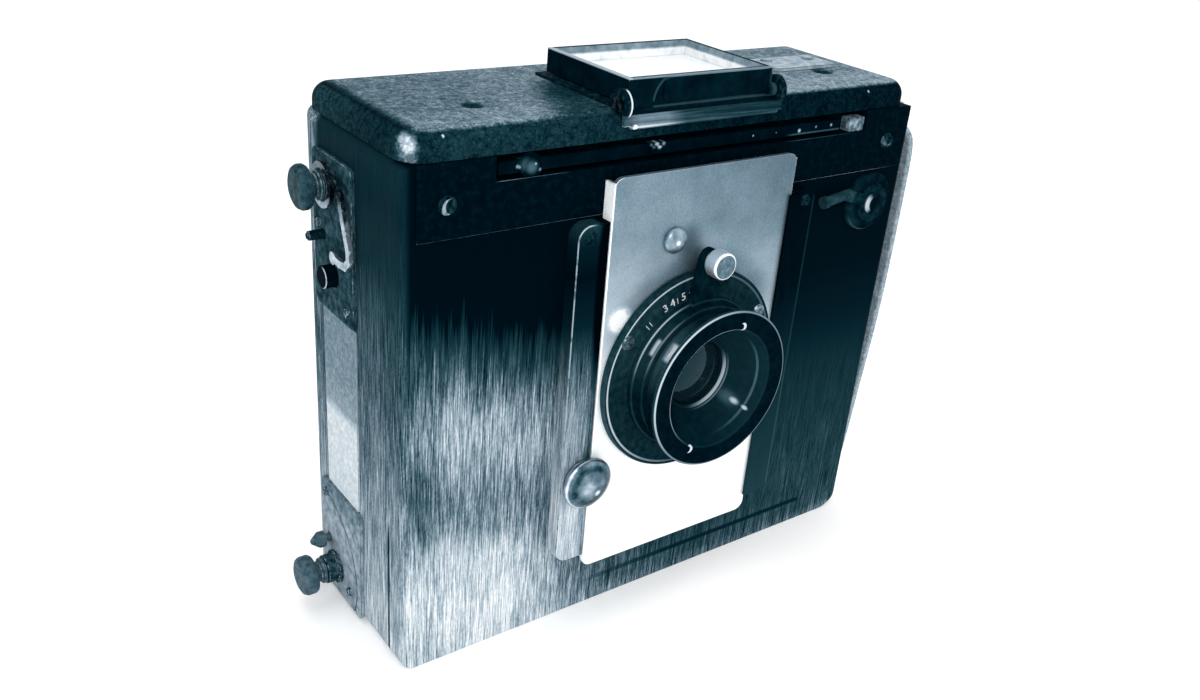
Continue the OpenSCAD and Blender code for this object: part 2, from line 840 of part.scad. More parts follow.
// Fixed block at the right end of the latch recess
module latch_block() {
    color("#aab6bd") translate([recess_x1 - block_w, bar_y, recess_z])
        cube([block_w, recess_back - bar_y, recess_h - 2]);
}

module latch_bar() {
    x0 = recess_x0 + 1;
    x1 = recess_x1 - block_w - latch_travel - 0.4;
    color("#46575f") {
        translate([x0, bar_y, bar_z]) cube([x1 - x0, bar_t, bar_h]);
        // Guide feet that slide on the recess's back
        for (x = [x0 + 3, 0, x1 - 6]) translate([x, bar_y + bar_t - eps, bar_z])
            cube([3, recess_back - bar_y - bar_t - 0.1, bar_h]);
        // Lugs that slide into the notches of the lid's tongues
        for (x = [-catch_x, catch_x])
            translate([x - catch_w / 2 - lug_gap - lug_w, bar_y + bar_t - eps, lug_z])
                cube([lug_w, catch_y + catch_t + 0.2 - bar_y - bar_t, lug_h]);
        // Thumb button at the left and lug at the middle
        facing_front(bar_y) translate([recess_x0 + 9.3, bar_z + 1.8]) rotate_extrude()
            polygon([[0, -eps], [3, -eps], [3, 0.6], [1.6, 0.9], [1.6, 1.6], [2.4, 2.1], [2.1, 2.8], [1.2, 3.2], [0, 3.3]]);
        translate([-16.5, bar_y - 1.2, bar_z + 0.6]) cube([4, 1.3, 1.8]);
    }
}

// Fixed disc of the shutter dial
module shutter_dial() {
    color("#24404b") facing_front(front_y) translate([dial_x, dial_z]) {
        difference() {
            rotate_extrude() polygon([[0, -2.5], [screw_shank_r, -2.5], [screw_shank_r, 0], [dial_r, 0],
                [dial_r, dial_t - 0.5], [dial_r - 0.5, dial_t], [dial_boss_r, dial_t],
                [dial_boss_r, dial_boss - 0.2], [dial_boss_r - 0.6, dial_boss], [2.2, dial_boss + 0.5],
                [0, dial_boss + 0.7]]);
            rotate(60) translate([-4, -0.35, dial_boss + 0.1]) cube([8, 0.7, 1]);
        }
    }
}

// Lever that turns on the dial's boss, with a round handle to the left
module dial_lever() {
    z0 = dial_t + 0.1;
    hub_t = 1.3;
    color("#5f737d") facing_front(front_y - z0) translate([dial_x, dial_z]) {
        difference() {
            union() {
                cylinder(r = dial_boss_r + 2.4, h = hub_t);
                rotate(162) translate([0, -1.7, 0]) cube([12.6, 3.4, hub_t]);
            }
            translate([0, 0, -1]) cylinder(r = dial_boss_r + running, h = 5);
        }
        translate([-11, 4.4, hub_t]) rotate([0, 0, 8]) rotate([0, -90, 0]) {
            cylinder(r = 1.5, h = 11);
            translate([0, 0, 9.6]) cylinder(r = 1.8, h = 1.6);
        }
    }
}

// Height of the strap's inner face over the side, at share s of its height
function strap_out(s) = strap_bow * lookup(s, strap_shape);

module hand_strap() {
    span = strap_z1 - strap_z0 - 2 * strap_end;
    inner = [for (i = [0 : strap_steps]) let (s = i / strap_steps)
        [right_x + 0.3 + strap_out(s), strap_z0 + strap_end + s * span]];
    outer = [for (i = [strap_steps : -1 : 0]) let (s = i / strap_steps)
        [right_x + 0.3 + strap_t + strap_out(s), strap_z0 + strap_end + s * span]];
    ends = [[right_x + 0.3 + strap_t, strap_z0], [right_x + 0.3, strap_z0]];
    tops = [[right_x + 0.3, strap_z1], [right_x + 0.3 + strap_t, strap_z1]];
    color("#5b4a38") difference() {
        facing_front(strap_y + strap_w) linear_extrude(strap_w) polygon(concat(inner, tops, outer, ends));
        for (z = [strap_z0 + strap_end / 2, strap_z1 - strap_end / 2])
            from_side(right_x) translate([strap_y + strap_w / 2, z]) cylinder(r = 1.5, h = 5);
    }
}

// Buttons that hold the strap's two ends
module strap_buttons() {
    color("#9aa7ae") for (z = [strap_z0 + strap_end / 2, strap_z1 - strap_end / 2])
        from_side(right_x) translate([strap_y + strap_w / 2, z]) {
            cylinder(r = 1.2, h = strap_t + 0.8);
            translate([0, 0, strap_t + 0.6]) cylinder(r1 = 3, r2 = 2.2, h = 1.2);
        }
}

module lens_board() {
    skirt = board_proud - board_t - flange_gap;
    color("#aab5bf") {
        difference() {
            facing_front(front_y - board_proud + board_t) translate([lens_x, board_z + board_h / 2])
                linear_extrude(board_t) union() {
                    round_rect(board_w, board_h, board_corner);
                    for (s = [-1, 1]) translate([s * (board_w / 2 - board_t / 2), board_h / 2 - board_corner])
                        square([board_t, 2 * (board_corner - flange_drop)], center = true);
                }
            on_lens() cylinder(r = lens_hole_r, h = 10);
            on_lens() for (a = flange_angles) rotate(a) translate([flange_screw_at, 0, 0])
                cylinder(r = screw_shank_r + running, h = 10);
            facing_front(front_y) translate([stop_x, stop_z]) cylinder(r = screw_shank_r + running, h = 10);
        }
        // Folded side flanges, with their upper ends let in behind the corners
        for (x = [board_x0, board_x1 - board_t])
            translate([x, front_y - flange_gap - skirt, board_z + board_corner])
                cube([board_t, skirt + eps, board_h - board_corner - flange_drop]);
    }
}

module board_stop_knob() {
    color("#c3ccd1") facing_front(front_y - board_proud) translate([stop_x, stop_z]) {
        rotate_extrude() polygon([[0, 0], [stop_r, 0], [stop_r, 0.7], [stop_r - 0.4, 1.3],
            [stop_r - 1.3, 1.9], [stop_r - 2.2, 2.2], [0, 2.3]]);
        translate([0, 0, -board_t]) cylinder(r = screw_shank_r, h = board_t + eps);
    }
}

// Clamp knob of the lens board, with its stem in the left rail
module board_lock_knob() {
    r = lock_r;
    color("#8798a1") facing_front(front_y - board_proud) translate([lock_x, lock_z]) {
        rotate_extrude() polygon([[0, 0.2], [r - 1.2, 0.2], [r - 1.2, 1], [2.4, 1], [2.4, 1.6], [r - 0.5, 1.7],
            [r, 2.2], [r, 3.2], [r - 0.6, 3.7], [r - 2, 4.4], [r - 4, 4.9], [0, 5.1]]);
        translate([0, 0, -board_proud + 1.2]) cylinder(r = lock_stem_r, h = board_proud);
    }
}

module lens_flange() {
    bore = barrel_r + running;
    color("#10262f") on_lens() difference() {
        rotate_extrude() polygon([[bore, -1], [lens_hole_r - 0.1, -1], [lens_hole_r - 0.1, board_proud],
            [flange_r, board_proud], [flange_r, flange_top - 0.5], [flange_r - 0.5, flange_top],
            [flange_r - 0.7, flange_top], [flange_r - 0.85, flange_top - 0.3],
            [focus_r + 0.6, flange_top - 0.3], [focus_r + 0.4, flange_top], [bore, flange_top]]);
        for (a = flange_angles) rotate(a) translate([flange_screw_at, 0, 0])
            cylinder(r = screw_shank_r + running, h = 10);
    }
}

module flange_screws() {
    color("#6f8490") on_lens() for (a = flange_angles)
        rotate(a) translate([flange_screw_at, 0, flange_top - 0.3]) rotate(25) screw(flange_screw_r, 0.5, 3);
}

// Focusing ring with the arm that carries its knob
module focus_ring() {
    bore = barrel_r + running;
    color("#132a34") on_lens() {
        difference() {
            union() {
                rotate_extrude() polygon([[bore, focus_z0], [focus_r, focus_z0], [focus_r, focus_z1 - 0.4],
                    [focus_r - 0.8, focus_z1], [focus_neck_r, focus_z1], [focus_neck_r, focus_top - 0.3],
                    [focus_neck_r - 0.3, focus_top], [bore, focus_top]]);
                translate([0, 0, arm_z]) linear_extrude(arm_t) {
                    polygon([[-5, 20.6], [5, 20.6], [3, focus_knob_at], [-3, focus_knob_at]]);
                    translate([0, focus_knob_at]) circle(3);
                }
            }
            translate([0, focus_knob_at, 0]) cylinder(r = knob_stem_r + 0.02, h = 20);
            translate([0, 0, 0]) cylinder(r = bore, h = 20);
        }
    }
}

module focus_knob() {
    head = arm_z + arm_t + 1.4;
    collar = board_proud + slide_gap + lip_t + 0.4;
    r = focus_knob_r;
    color("#dfe6ea") on_lens() translate([0, focus_knob_at, 0]) rotate_extrude()
        polygon([[0, collar], [2.3, collar], [2.3, arm_z - 0.05], [knob_stem_r, arm_z - 0.05],
            [knob_stem_r, arm_z + arm_t + 0.05], [2.7, arm_z + arm_t + 0.05], [2.7, head - 0.7],
            [2.1, head - 0.6], [2.1, head], [r - 0.3, head], [r, head + 0.3], [r, head + 4],
            [r - 0.4, head + 4.4], [0, head + 4.4]]);
}

// Sliding barrel with the rear cell
module lens_barrel() {
    inner = barrel_r - barrel_wall;
    color("#17303a") on_lens() rotate_extrude() polygon([[inner, barrel_front], [barrel_r, barrel_front],
        [barrel_r, barrel_rear], [rear_cell_r, barrel_rear], [rear_cell_r, rear_cell_end],
        [rear_glass_r + 0.1, rear_cell_end], [rear_glass_r + 0.1, diaphragm_z],
        [front_glass_r + 0.3, diaphragm_z], [front_glass_r + 0.3, funnel_end - 0.3], [inner, funnel_end - 0.3]]);
}

module aperture_ring() {
    bore = barrel_r + running;
    r = aperture_r;
    color("#1b343f") on_lens() difference() {
        union() {
            rotate_extrude() polygon([[bore, aperture_z0], [r - 0.3, aperture_z0], [r, aperture_z0 + 0.3],
                [r, aperture_z0 + 1.4], [r - 0.35, aperture_z0 + 1.7], [r - 0.35, aperture_z1 - 0.6],
                [r - 0.1, aperture_z1 - 0.3], [r - 0.1, aperture_z1], [bore, aperture_z1]]);
            rotate(215) translate([r - 1, -1.2, aperture_z0]) cube([2.4, 2.4, 1.4]);
        }
        cylinder(r = bore, h = 30);
    }
}

// Front rim with the dark funnel that leads to the front glass
module front_ring() {
    inner = barrel_r - barrel_wall - 0.3;
    g = front_glass_r + 0.3;
    color("#0e242d") on_lens() rotate_extrude() polygon([[inner, barrel_front], [rim_r - 0.4, barrel_front],
        [rim_r, barrel_front + 0.4], [rim_r, lens_reach - 0.3], [rim_r - 0.3, lens_reach],
        [inner + 0.8, lens_reach], [inner + 0.3, lens_reach - 0.4], [g + 0.9, funnel_end + 2.6],
        [g + 0.9, funnel_end + 1.8], [g, funnel_end + 1.8], [g, funnel_end], [g + 1.4, funnel_end],
        [g + 2.2, funnel_end + 2], [inner, barrel_front - 1.4]]);
}

// Lens element: a disc whose faces are shaped by a sphere
module element(r, t, sphere_r) {
    intersection() {
        cylinder(r = r, h = t);
        translate([0, 0, t - sphere_r]) sphere(sphere_r, $fn = 96);
    }
}

module front_glass() {
    color("#274653") on_lens() translate([0, 0, funnel_end - 1.2]) element(front_glass_r, 3.2, 24);
}

module rear_glass() {
    color("#274653") on_lens() translate([0, 0, rear_cell_end + 4]) mirror([0, 0, 1])
        element(rear_glass_r, 3.4, 26);
}

// Iris: overlapping crescents, each a little further back
module iris_blades() {
    blade_t = 0.1;
    color("#3a3f42") on_lens() for (i = [0 : iris_count - 1])
        rotate(i * 360 / iris_count) translate([0, 0, diaphragm_z - 0.3 - (i + 1) * (blade_t + 0.03)])
            linear_extrude(blade_t) difference() {
                circle(rear_glass_r - 0.1);
                translate([4.6, 0]) circle(rear_glass_r - 2.6);
            }
}

// Corner post of the lid, rounded at its top edge
module lid_post(x, y, c) {
    translate([x, y, lid_z]) rotate_extrude($fn = 32) {
        square([max(c - lid_round, eps), lid_h]);
        square([c, lid_h - lid_round]);
        translate([c - lid_round, lid_h - lid_round]) intersection() {
            circle(lid_round, $fn = 32);
            square(lid_round);
        }
    }
}

module lid() {
    c = lid_corner;
    k = max(lid_back_corner, lid_round + 0.1);
    color("#3d5660") difference() {
        hull() {
            lid_post(lid_x0 + c, lid_y0 + c, c);
            lid_post(lid_x1 - c, lid_y0 + c, c);
            lid_post(lid_x0 + k, lid_y1 - k, k);
            lid_post(lid_x1 - k, lid_y1 - k, k);
        }
        translate([lid_x0 + lid_wall, lid_y0 + lid_wall, lid_z - 1])
            cube([lid_x1 - lid_x0 - 2 * lid_wall, lid_y1 - lid_y0 - 2 * lid_wall, lid_h - lid_wall + 1 - 1.2]);
    }
}

// Tongues that hang from the lid behind the latch bar
module lid_catches() {
    seat = lid_y0 + lid_wall;
    color("#7a8b94") for (x = [-catch_x, catch_x]) {
        difference() {
            translate([x - catch_w / 2, catch_y, recess_z + 1.2]) cube([catch_w, catch_t, lid_z + 3 - recess_z - 1.2]);
            translate([x - catch_w / 2 - 1, catch_y - 1, lug_z - 0.3])
                cube([latch_travel + 1.5, catch_t + 2, lug_h + 0.6]);
        }
        translate([x - catch_w / 2, seat, lid_z + 0.4]) cube([catch_w, catch_y + catch_t - seat, 2.6]);
    }
}

// Small plate with two screws on the lid
module lid_plate() {
    x = lid_x1 - 23;
    w = 25;
    d = 13;
    color("#8797a0") {
        translate([x, 1, lid_top]) linear_extrude(1) round_rect(w, d, 1.5);
        for (s = [-1, 1]) translate([x + s * 8, 3.5 - s * 0.6, lid_top + 1]) cylinder(r = 1.7, h = 0.5);
    }
}

// Room that the lid's rounded front edge takes, with a small gap
module lid_room(w) {
    from_side(-w) translate([lid_y0 + lid_round, lid_top - lid_round]) cylinder(r = lid_round + 0.05, h = 2 * w);
    translate([-w, lid_y0 - 0.05, lid_z - 20]) cube([2 * w, body_d, lid_h - lid_round + 20]);
    translate([-w, lid_y0 + lid_round, lid_z - 20]) cube([2 * w, body_d, lid_h + 20]);
}

// Plate under the finder, its two ears and the lip that bends over the lid's front edge
module finder_base() {
    w = 2 * ear_x + 2 * ear_t;
    lip_y = lid_y0 - 0.1;
    lip_t = 0.8;
    bead_r = 0.8;
    bead_z = lid_z + 3.4;
    plate_y = lid_y0 + lid_round;
    color("#78909b") translate([finder_x, 0, 0]) difference() {
        union() {
            translate([-w / 2, plate_y, lid_top]) cube([w, finder_y0 + finder_d + 1.5 - plate_y, base_t]);
            from_side(-w / 2) linear_extrude(w) polygon([[lip_y, bead_z], [lip_y - lip_t, bead_z],
                [lip_y - lip_t, lid_top - 1.9], [lip_y - 0.1, lid_top - 1.1], [finder_y0 - 0.6, lid_top - 0.6],
                [finder_y0 - 0.6, lid_top - 0.85], [lip_y + 0.6, lid_top - 2]]);
            from_side(-w / 2 + 2) translate([lip_y - bead_r + 0.05, bead_z]) cylinder(r = bead_r, h = w - 4);
            for (x = [-ear_x - ear_t, ear_x]) {
                from_side(x) translate([pivot_y, pivot_z]) cylinder(r = ear_r, h = ear_t);
                translate([x, pivot_y - 1, lid_top - 2]) cube([ear_t, plate_y - pivot_y + 3, pivot_z - lid_top + 2]);
            }
        }
        from_side(-w) translate([pivot_y, pivot_z]) cylinder(r = pivot_pin_r + running, h = 2 * w);
        lid_room(w);
    }
}

module finder_pins() {
    color("#c3ccd1") translate([finder_x, 0, 0]) for (s = [-1, 1]) scale([s, 1, 1]) {
        from_side(finder_w / 2 - 1) translate([pivot_y, pivot_z])
            cylinder(r = pivot_pin_r, h = ear_x + ear_t - finder_w / 2 + 1.2);
        from_side(ear_x + ear_t + 0.02) translate([pivot_y, pivot_z]) cylinder(r = 2, h = 0.7);
    }
}

// Folding frame: a shallow box whose glass sits below the rim
module finder_frame() {
    arm_l = ear_x - finder_w / 2 - 0.2;
    inner_wd = finder_w - 2 * finder_wall;
    inner_dp = finder_d - 2 * finder_wall;
    mid_y = finder_y0 + finder_d / 2;
    color("#1d3742") translate([finder_x, 0, 0]) difference() {
        union() {
            translate([-finder_w / 2, finder_y0, finder_z]) cube([finder_w, finder_d, finder_h]);
            for (x = [-finder_w / 2 - arm_l, finder_w / 2 - finder_wall])
                from_side(x) translate([pivot_y, pivot_z]) cylinder(r = pivot_r, h = arm_l + finder_wall);
            // Apron that reaches down before the lid's top, with the flap on it
            translate([-finder_w / 2, finder_y0 - apron_t, apron_z])
                cube([finder_w, apron_t + 0.3, finder_z + finder_h - apron_z]);
            facing_front(finder_y0 - apron_t) translate([5.4, (apron_z + finder_z + finder_h) / 2 + 0.5])
                linear_extrude(0.4) round_rect(finder_w - 11.2, finder_z + finder_h - apron_z - 1.4, 2);
        }
        translate([-inner_wd / 2 + ledge, mid_y - inner_dp / 2 + ledge, finder_z - 1])
            cube([inner_wd - 2 * ledge, inner_dp - 2 * ledge, finder_h + 2]);
        translate([-inner_wd / 2, mid_y - inner_dp / 2, finder_z + ledge])
            cube([inner_wd, inner_dp, finder_h]);
        for (x = [-finder_w / 2 - 3, finder_w / 2 - finder_wall + 0.3])
            from_side(x) translate([pivot_y, pivot_z]) cylinder(r = pivot_pin_r + running, h = 3 + finder_wall - 0.3);
    }
}

module finder_glass() {
    color("#e8eef0") translate([finder_x, finder_y0 + finder_d / 2, finder_z + ledge])
        linear_extrude(1) square([finder_w - 2 * finder_wall - 0.4, finder_d - 2 * finder_wall - 0.4], center = true);
}

// Wooden frame that slides in from the right and carries the ground glass
module focusing_frame() {
    x0 = left_x + wall + 0.3;
    color("#4a2f1c") difference() {
        intersection() {
            translate([x0, frame_y, sill_z + 0.3]) cube([right_x - x0, back_frame_t, back_open_h - 0.6]);
            case_block(frame_y - 1, back_y);
        }
        facing_front(frame_y + back_frame_t + 5) translate([lens_x, gate_z]) linear_extrude(20)
            square([gate_w - 2, gate_h - 2], center = true);
        facing_front(glass_y + 20) translate([lens_x, gate_z]) linear_extrude(20)
            square([gate_w + 2 * glass_edge, gate_h + 2 * glass_edge], center = true);
        // Finger notch
        facing_front(frame_y + 20) translate([right_x + 3, gate_z]) cylinder(r = 10, h = 17);
    }
}

module ground_glass() {
    color("#cfdadd") facing_front(glass_y + glass_t) translate([lens_x, gate_z]) linear_extrude(glass_t)
        square([gate_w + 2 * glass_edge - 0.4, gate_h + 2 * glass_edge - 0.4], center = true);
}

// Metal rim that holds the ground glass in its frame
module glass_retainer() {
    t = 0.8;
    w = gate_w + 2 * glass_edge - 0.4;
    h = gate_h + 2 * glass_edge - 0.4;
    color("#a8874a") facing_front(glass_y + glass_t + 0.05 + t) translate([lens_x, gate_z])
        linear_extrude(t) difference() {
            square([w, h], center = true);
            square([w - 10, h - 10], center = true);
        }
}

body_shell();
front_case();
front_band();
front_screws();
rail_left();
rail_right();
side_plate_upper();
side_inlay();
side_plate_lower();
side_studs();
shaft_bushes();
light_chamber();
gate_frame();
shutter_curtain();
back_rails();
case_hinge_leaf();
hinge_pin();
tripod_socket();
latch_block();
shutter_dial();
hand_strap();
strap_buttons();
lens_board();
board_stop_knob();
lens_flange();
flange_screws();
focus_ring();
focus_knob();
lens_barrel();
aperture_ring();
front_ring();
front_glass();
iris_blades();
rear_glass();
board_lock_knob();
upper_roller();
wind_knob();
wind_ratchet();
lower_roller();
tension_knob();
tension_ratchet();
wind_pawl();
tension_pawl();
brake_lever();
release_button();
wind_stop_pin();
brake_pin();
dial_lever();
lid();
lid_hinge_leaf();
lid_catches();
lid_plate();
finder_base();
finder_pins();
finder_frame();
finder_glass();
latch_bar();
focusing_frame();
ground_glass();
glass_retainer();
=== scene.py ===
"""Plate camera with a roller-blind shutter: its finishes, soft pieces, scales and stage."""

import json
import math

import bmesh
import bpy
from mathutils import Matrix, Vector

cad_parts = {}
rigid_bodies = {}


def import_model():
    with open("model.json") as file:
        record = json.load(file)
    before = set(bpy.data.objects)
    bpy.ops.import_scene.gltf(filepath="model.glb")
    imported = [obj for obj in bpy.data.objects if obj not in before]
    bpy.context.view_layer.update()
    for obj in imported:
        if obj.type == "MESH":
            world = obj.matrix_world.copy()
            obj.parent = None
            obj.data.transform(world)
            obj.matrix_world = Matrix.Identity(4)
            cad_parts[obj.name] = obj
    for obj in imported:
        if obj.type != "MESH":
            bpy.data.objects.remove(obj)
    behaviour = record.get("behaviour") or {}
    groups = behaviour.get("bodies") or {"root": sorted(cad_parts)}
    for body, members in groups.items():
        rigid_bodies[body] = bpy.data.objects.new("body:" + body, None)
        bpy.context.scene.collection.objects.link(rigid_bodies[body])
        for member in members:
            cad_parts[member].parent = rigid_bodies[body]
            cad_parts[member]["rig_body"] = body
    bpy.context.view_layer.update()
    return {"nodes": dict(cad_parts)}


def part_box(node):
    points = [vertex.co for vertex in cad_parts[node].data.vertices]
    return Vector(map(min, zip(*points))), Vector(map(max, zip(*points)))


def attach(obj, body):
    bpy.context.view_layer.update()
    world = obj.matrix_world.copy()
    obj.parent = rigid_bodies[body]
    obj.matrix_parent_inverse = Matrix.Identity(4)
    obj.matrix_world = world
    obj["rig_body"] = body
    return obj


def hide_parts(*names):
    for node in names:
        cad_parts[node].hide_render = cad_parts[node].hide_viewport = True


bl_info = {
    "name": "Plate Camera",
    "version": (1, 0, 0),
    "blender": (4, 5, 0),
    "location": "View3D > Sidebar > Plate Camera",
    "description": "Builds the finishes and fine pieces of a plate camera over its fixed frame",
    "category": "Add Mesh",
}

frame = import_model()
CAD = frame["nodes"]
MM = 0.001


def span(node):
    """Lowest and highest corner of a node, in millimetres."""
    low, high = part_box(node)
    return low / MM, high / MM


CASE_LOW = span("front_case")[0]
BOARD_LOW = span("lens_board")[0]
FLANGE_LOW, FLANGE_HIGH = span("lens_flange")
RING_LOW, RING_HIGH = span("focus_ring")
LENS_X = (FLANGE_LOW.x + FLANGE_HIGH.x) / 2
LENS_Z = (FLANGE_LOW.z + FLANGE_HIGH.z) / 2
FLANGE_R = (FLANGE_HIGH.x - FLANGE_LOW.x) / 2
FOCUS_R = (RING_HIGH.x - RING_LOW.x) / 2
LID_TOP = span("lid")[1].z


# ---- settings -------------------------------------------------------------

class CaseSettings(bpy.types.PropertyGroup):
    streak_width: bpy.props.FloatProperty(
        name="Streak width", description="Width of one worn vertical streak", default=0.0003, min=0.0001,
        max=0.004, unit="LENGTH")
    # The pale streaks at the foot of the front are partly rubbed lacquer and partly painted reflected light
    streak_top: bpy.props.FloatProperty(
        name="Streak top", description="Height on the front where the worn streaks begin", default=0.102,
        min=0.02, max=0.14, unit="LENGTH")
    foot_wear_and_glare: bpy.props.FloatProperty(
        name="Wear", description="How pale the lacquer is rubbed at the foot of the front", default=0.8,
        min=0.1, max=1.0, subtype="FACTOR")


class MetalSettings(bpy.types.PropertyGroup):
    enamel: bpy.props.FloatProperty(
        name="Enamel tone", description="Tone of the black enamel, from black to white", default=0.05,
        min=0.0, max=0.5, subtype="FACTOR")
    # The edge tone also gives the painted highlights along edges that face the light
    edge: bpy.props.FloatProperty(
        name="Edge tone", description="Tone of the metal where the enamel is rubbed off", default=0.8,
        min=0.2, max=1.0, subtype="FACTOR")
    edge_width: bpy.props.FloatProperty(
        name="Edge rounding", description="Width of the rounding along an enamelled edge", default=0.00022,
        min=0.00005, max=0.0005, unit="LENGTH")


class LidSettings(bpy.types.PropertyGroup):
    leather: bpy.props.FloatProperty(
        name="Leather tone", description="Tone of the leather on the lid's top, from black to white",
        default=0.48, min=0.05, max=1.0, subtype="FACTOR")
    edge_round: bpy.props.FloatProperty(
        name="Edge rounding", description="Radius of the lid's top edge", default=0.0045, min=0.001,
        max=0.0048, unit="LENGTH")
    front_corner: bpy.props.FloatProperty(
        name="Front corners", description="Radius of the lid's front corners from above", default=0.007,
        min=0.005, max=0.012, unit="LENGTH")
    back_corner: bpy.props.FloatProperty(
        name="Back corners", description="Radius of the lid's back corners from above", default=0.005,
        min=0.0049, max=0.012, unit="LENGTH")
    dent_depth: bpy.props.FloatProperty(
        name="Dent depth", description="Depth of the two dents in the lid", default=0.0009, min=0, max=0.002,
        unit="LENGTH")


class StrapSettings(bpy.types.PropertyGroup):
    leather: bpy.props.FloatProperty(
        name="Strap tone", description="Tone of the strap's worn leather, from black to white", default=0.68,
        min=0.05, max=1.0, subtype="FACTOR")
    stitch_pitch: bpy.props.FloatProperty(
        name="Stitch pitch", description="Distance from stitch to stitch", default=0.0034, min=0.001, max=0.01,
        unit="LENGTH")


class LensSettings(bpy.types.PropertyGroup):
    mark_height: bpy.props.FloatProperty(
        name="Mark height", description="Height of the focusing scale's numbers", default=0.0021, min=0.001,
        max=0.003, unit="LENGTH")
    # The board's glare is a painted reflection of the white floor
    glare: bpy.props.FloatProperty(
        name="Board glare", description="Tone of the polished lower part of the board", default=1.0, min=0.3,
        max=1.0, subtype="FACTOR")


class StageSettings(bpy.types.PropertyGroup):
    floor: bpy.props.StringProperty(
        name="Floor", description="Colour of the floor, as sRGB hex", default="#FFFFFF")
    key: bpy.props.FloatProperty(
        name="Key light", description="Power of the key light, in watts", default=5.0, min=0, max=40)
    fill: bpy.props.FloatProperty(
        name="Fill light", description="Power of the fill light, in watts", default=2.0, min=0, max=40)
    sky: bpy.props.FloatProperty(
        name="Sky", description="Strength of the light from all round", default=1.0, min=0, max=2)


# ---- materials ------------------------------------------------------------

# The object's colours run on one scale, from a teal black through slate to white, by tone
DIFFUSE = 0.72  # share of a tone that a finish without metal gives back under this stage's light
SLATE = ((0.0, "#00050A"), (0.05, "#000E17"), (0.1, "#04202A"), (0.2, "#193840"), (0.31, "#35535E"),
         (0.42, "#556B78"), (0.53, "#738A97"), (0.64, "#95A6B2"), (0.76, "#B3C3CE"), (0.88, "#D4DFE6"),
         (1.0, "#FAFCFD"))
SHEEN = "#5FB4CC"  # teal in which dulled enamel and coated glass shine


def linear(code):
    """sRGB hex to linear RGBA."""
    parts = [int(code[i:i + 2], 16) / 255 for i in (1, 3, 5)]
    return [c / 12.92 if c <= 0.04045 else ((c + 0.055) / 1.055) ** 2.4 for c in parts] + [1.0]


class Value:
    """What a material works out at every point of a piece; sums and products of values add nodes."""

    def __init__(self, socket):
        self.socket = socket

    def to(self, socket):
        """Links it to an input."""
        self.socket.id_data.links.new(self.socket, socket)

    def __add__(self, other):
        return calc("ADD", self, other)

    def __sub__(self, other):
        return calc("SUBTRACT", self, other)

    def __rsub__(self, other):
        return calc("SUBTRACT", other, self)

    def __mul__(self, other):
        return calc("MULTIPLY", self, other)

    def __abs__(self):
        return calc("ABSOLUTE", self)

    __radd__ = __add__


def add(kind, sets=None, ins=None, tree=None):
    """Adds a node with its settings and its inputs, each a constant or a Value, which also tells the tree."""
    if tree is None:
        tree = next(given.socket.id_data for given in ins.values() if isinstance(given, Value))
    made = tree.nodes.new(kind)
    for key, setting in (sets or {}).items():
        setattr(made, key, setting)
    for key, given in (ins or {}).items():
        if isinstance(given, Value):
            given.to(made.inputs[key])
        else:
            made.inputs[key].default_value = given
    return made


def worked(kind, sets, ins, key=0):
    """Value that an added node works out."""
    return Value(add(kind, sets, ins).outputs[key])


def blank(name):
    """Empty material with its shader: (material, tree, shader)."""
    made = bpy.data.materials.new(name)
    made.use_nodes = True
    tree = made.node_tree
    tree.nodes.clear()
    shader = add("ShaderNodeBsdfPrincipled", tree=tree)
    Value(shader.outputs[0]).to(add("ShaderNodeOutputMaterial", tree=tree).inputs[0])
    return made, tree, shader


def place(tree):
    """Where a point of the piece is, in millimetres: the vector, then x, y and z."""
    where = Value(add("ShaderNodeTexCoord", tree=tree).outputs["Object"])
    where = worked("ShaderNodeVectorMath", {"operation": "SCALE"}, {0: where, "Scale": 1 / MM})
    return (where, *(Value(axis) for axis in add("ShaderNodeSeparateXYZ", None, {0: where}).outputs))


def calc(kind, *terms):
    """One number worked out from one or two others."""
    return worked("ShaderNodeMath", {"operation": kind}, dict(enumerate(terms)))


def most(highest, *terms):
    """Highest of numbers."""
    for term in terms:
        highest = calc("MAXIMUM", highest, term)
    return highest


def ramp(value, low, high, start=0.0, end=1.0):
    """start below low, end above high, smooth between."""
    return worked("ShaderNodeMapRange", {"interpolation_type": "SMOOTHSTEP"},
                  {"Value": value, "From Min": low, "From Max": high, "To Min": start, "To Max": end})


def mix(share, low, high):
    """Number between low and high."""
    return worked("ShaderNodeMix", {"data_type": "FLOAT"}, {0: share, 2: low, 3: high})


def blend(share, low, high):
    """Colour between low and high."""
    return worked("ShaderNodeMix", {"data_type": "RGBA"}, {0: share, 6: low, 7: high}, 2)


def stops(value, rows):
    """Colour ramp through rows of (value, colour)."""
    made = add("ShaderNodeValToRGB", None, {0: value})
    band = made.color_ramp
    while len(band.elements) < len(rows):
        band.elements.new(0.5)
    for element, (at, colour) in zip(band.elements, rows):
        element.position = at
        element.color = colour
    return Value(made.outputs[0])


def profile(value, rows):
    """Tone along a coordinate, straight between rows of (coordinate, tone)."""
    low, high = rows[0][0], rows[-1][0]
    share = worked("ShaderNodeMapRange", None, {"Value": value, "From Min": low, "From Max": high})
    return stops(share, [((at - low) / (high - low), (t, t, t, 1)) for at, t in rows])


def slate(tone, share=1.0):
    """Colour of a tone on the object's scale, times share."""
    return stops(tone, [(at, [c * share for c in linear(code)[:3]] + [1.0]) for at, code in SLATE])


def stir(where, scale, amount, detail=4.0, rough=0.6):
    """Noise round 0, its cells per millimetre given for each direction or for all."""
    scale = scale if isinstance(scale, tuple) else (scale, scale, scale)
    spread = worked("ShaderNodeVectorMath", {"operation": "MULTIPLY"}, {0: where, 1: scale})
    made = worked("ShaderNodeTexNoise", None,
                  {"Vector": spread, "Scale": 1.0, "Detail": detail, "Roughness": rough}, "Fac")
    return (made - 0.5) * amount


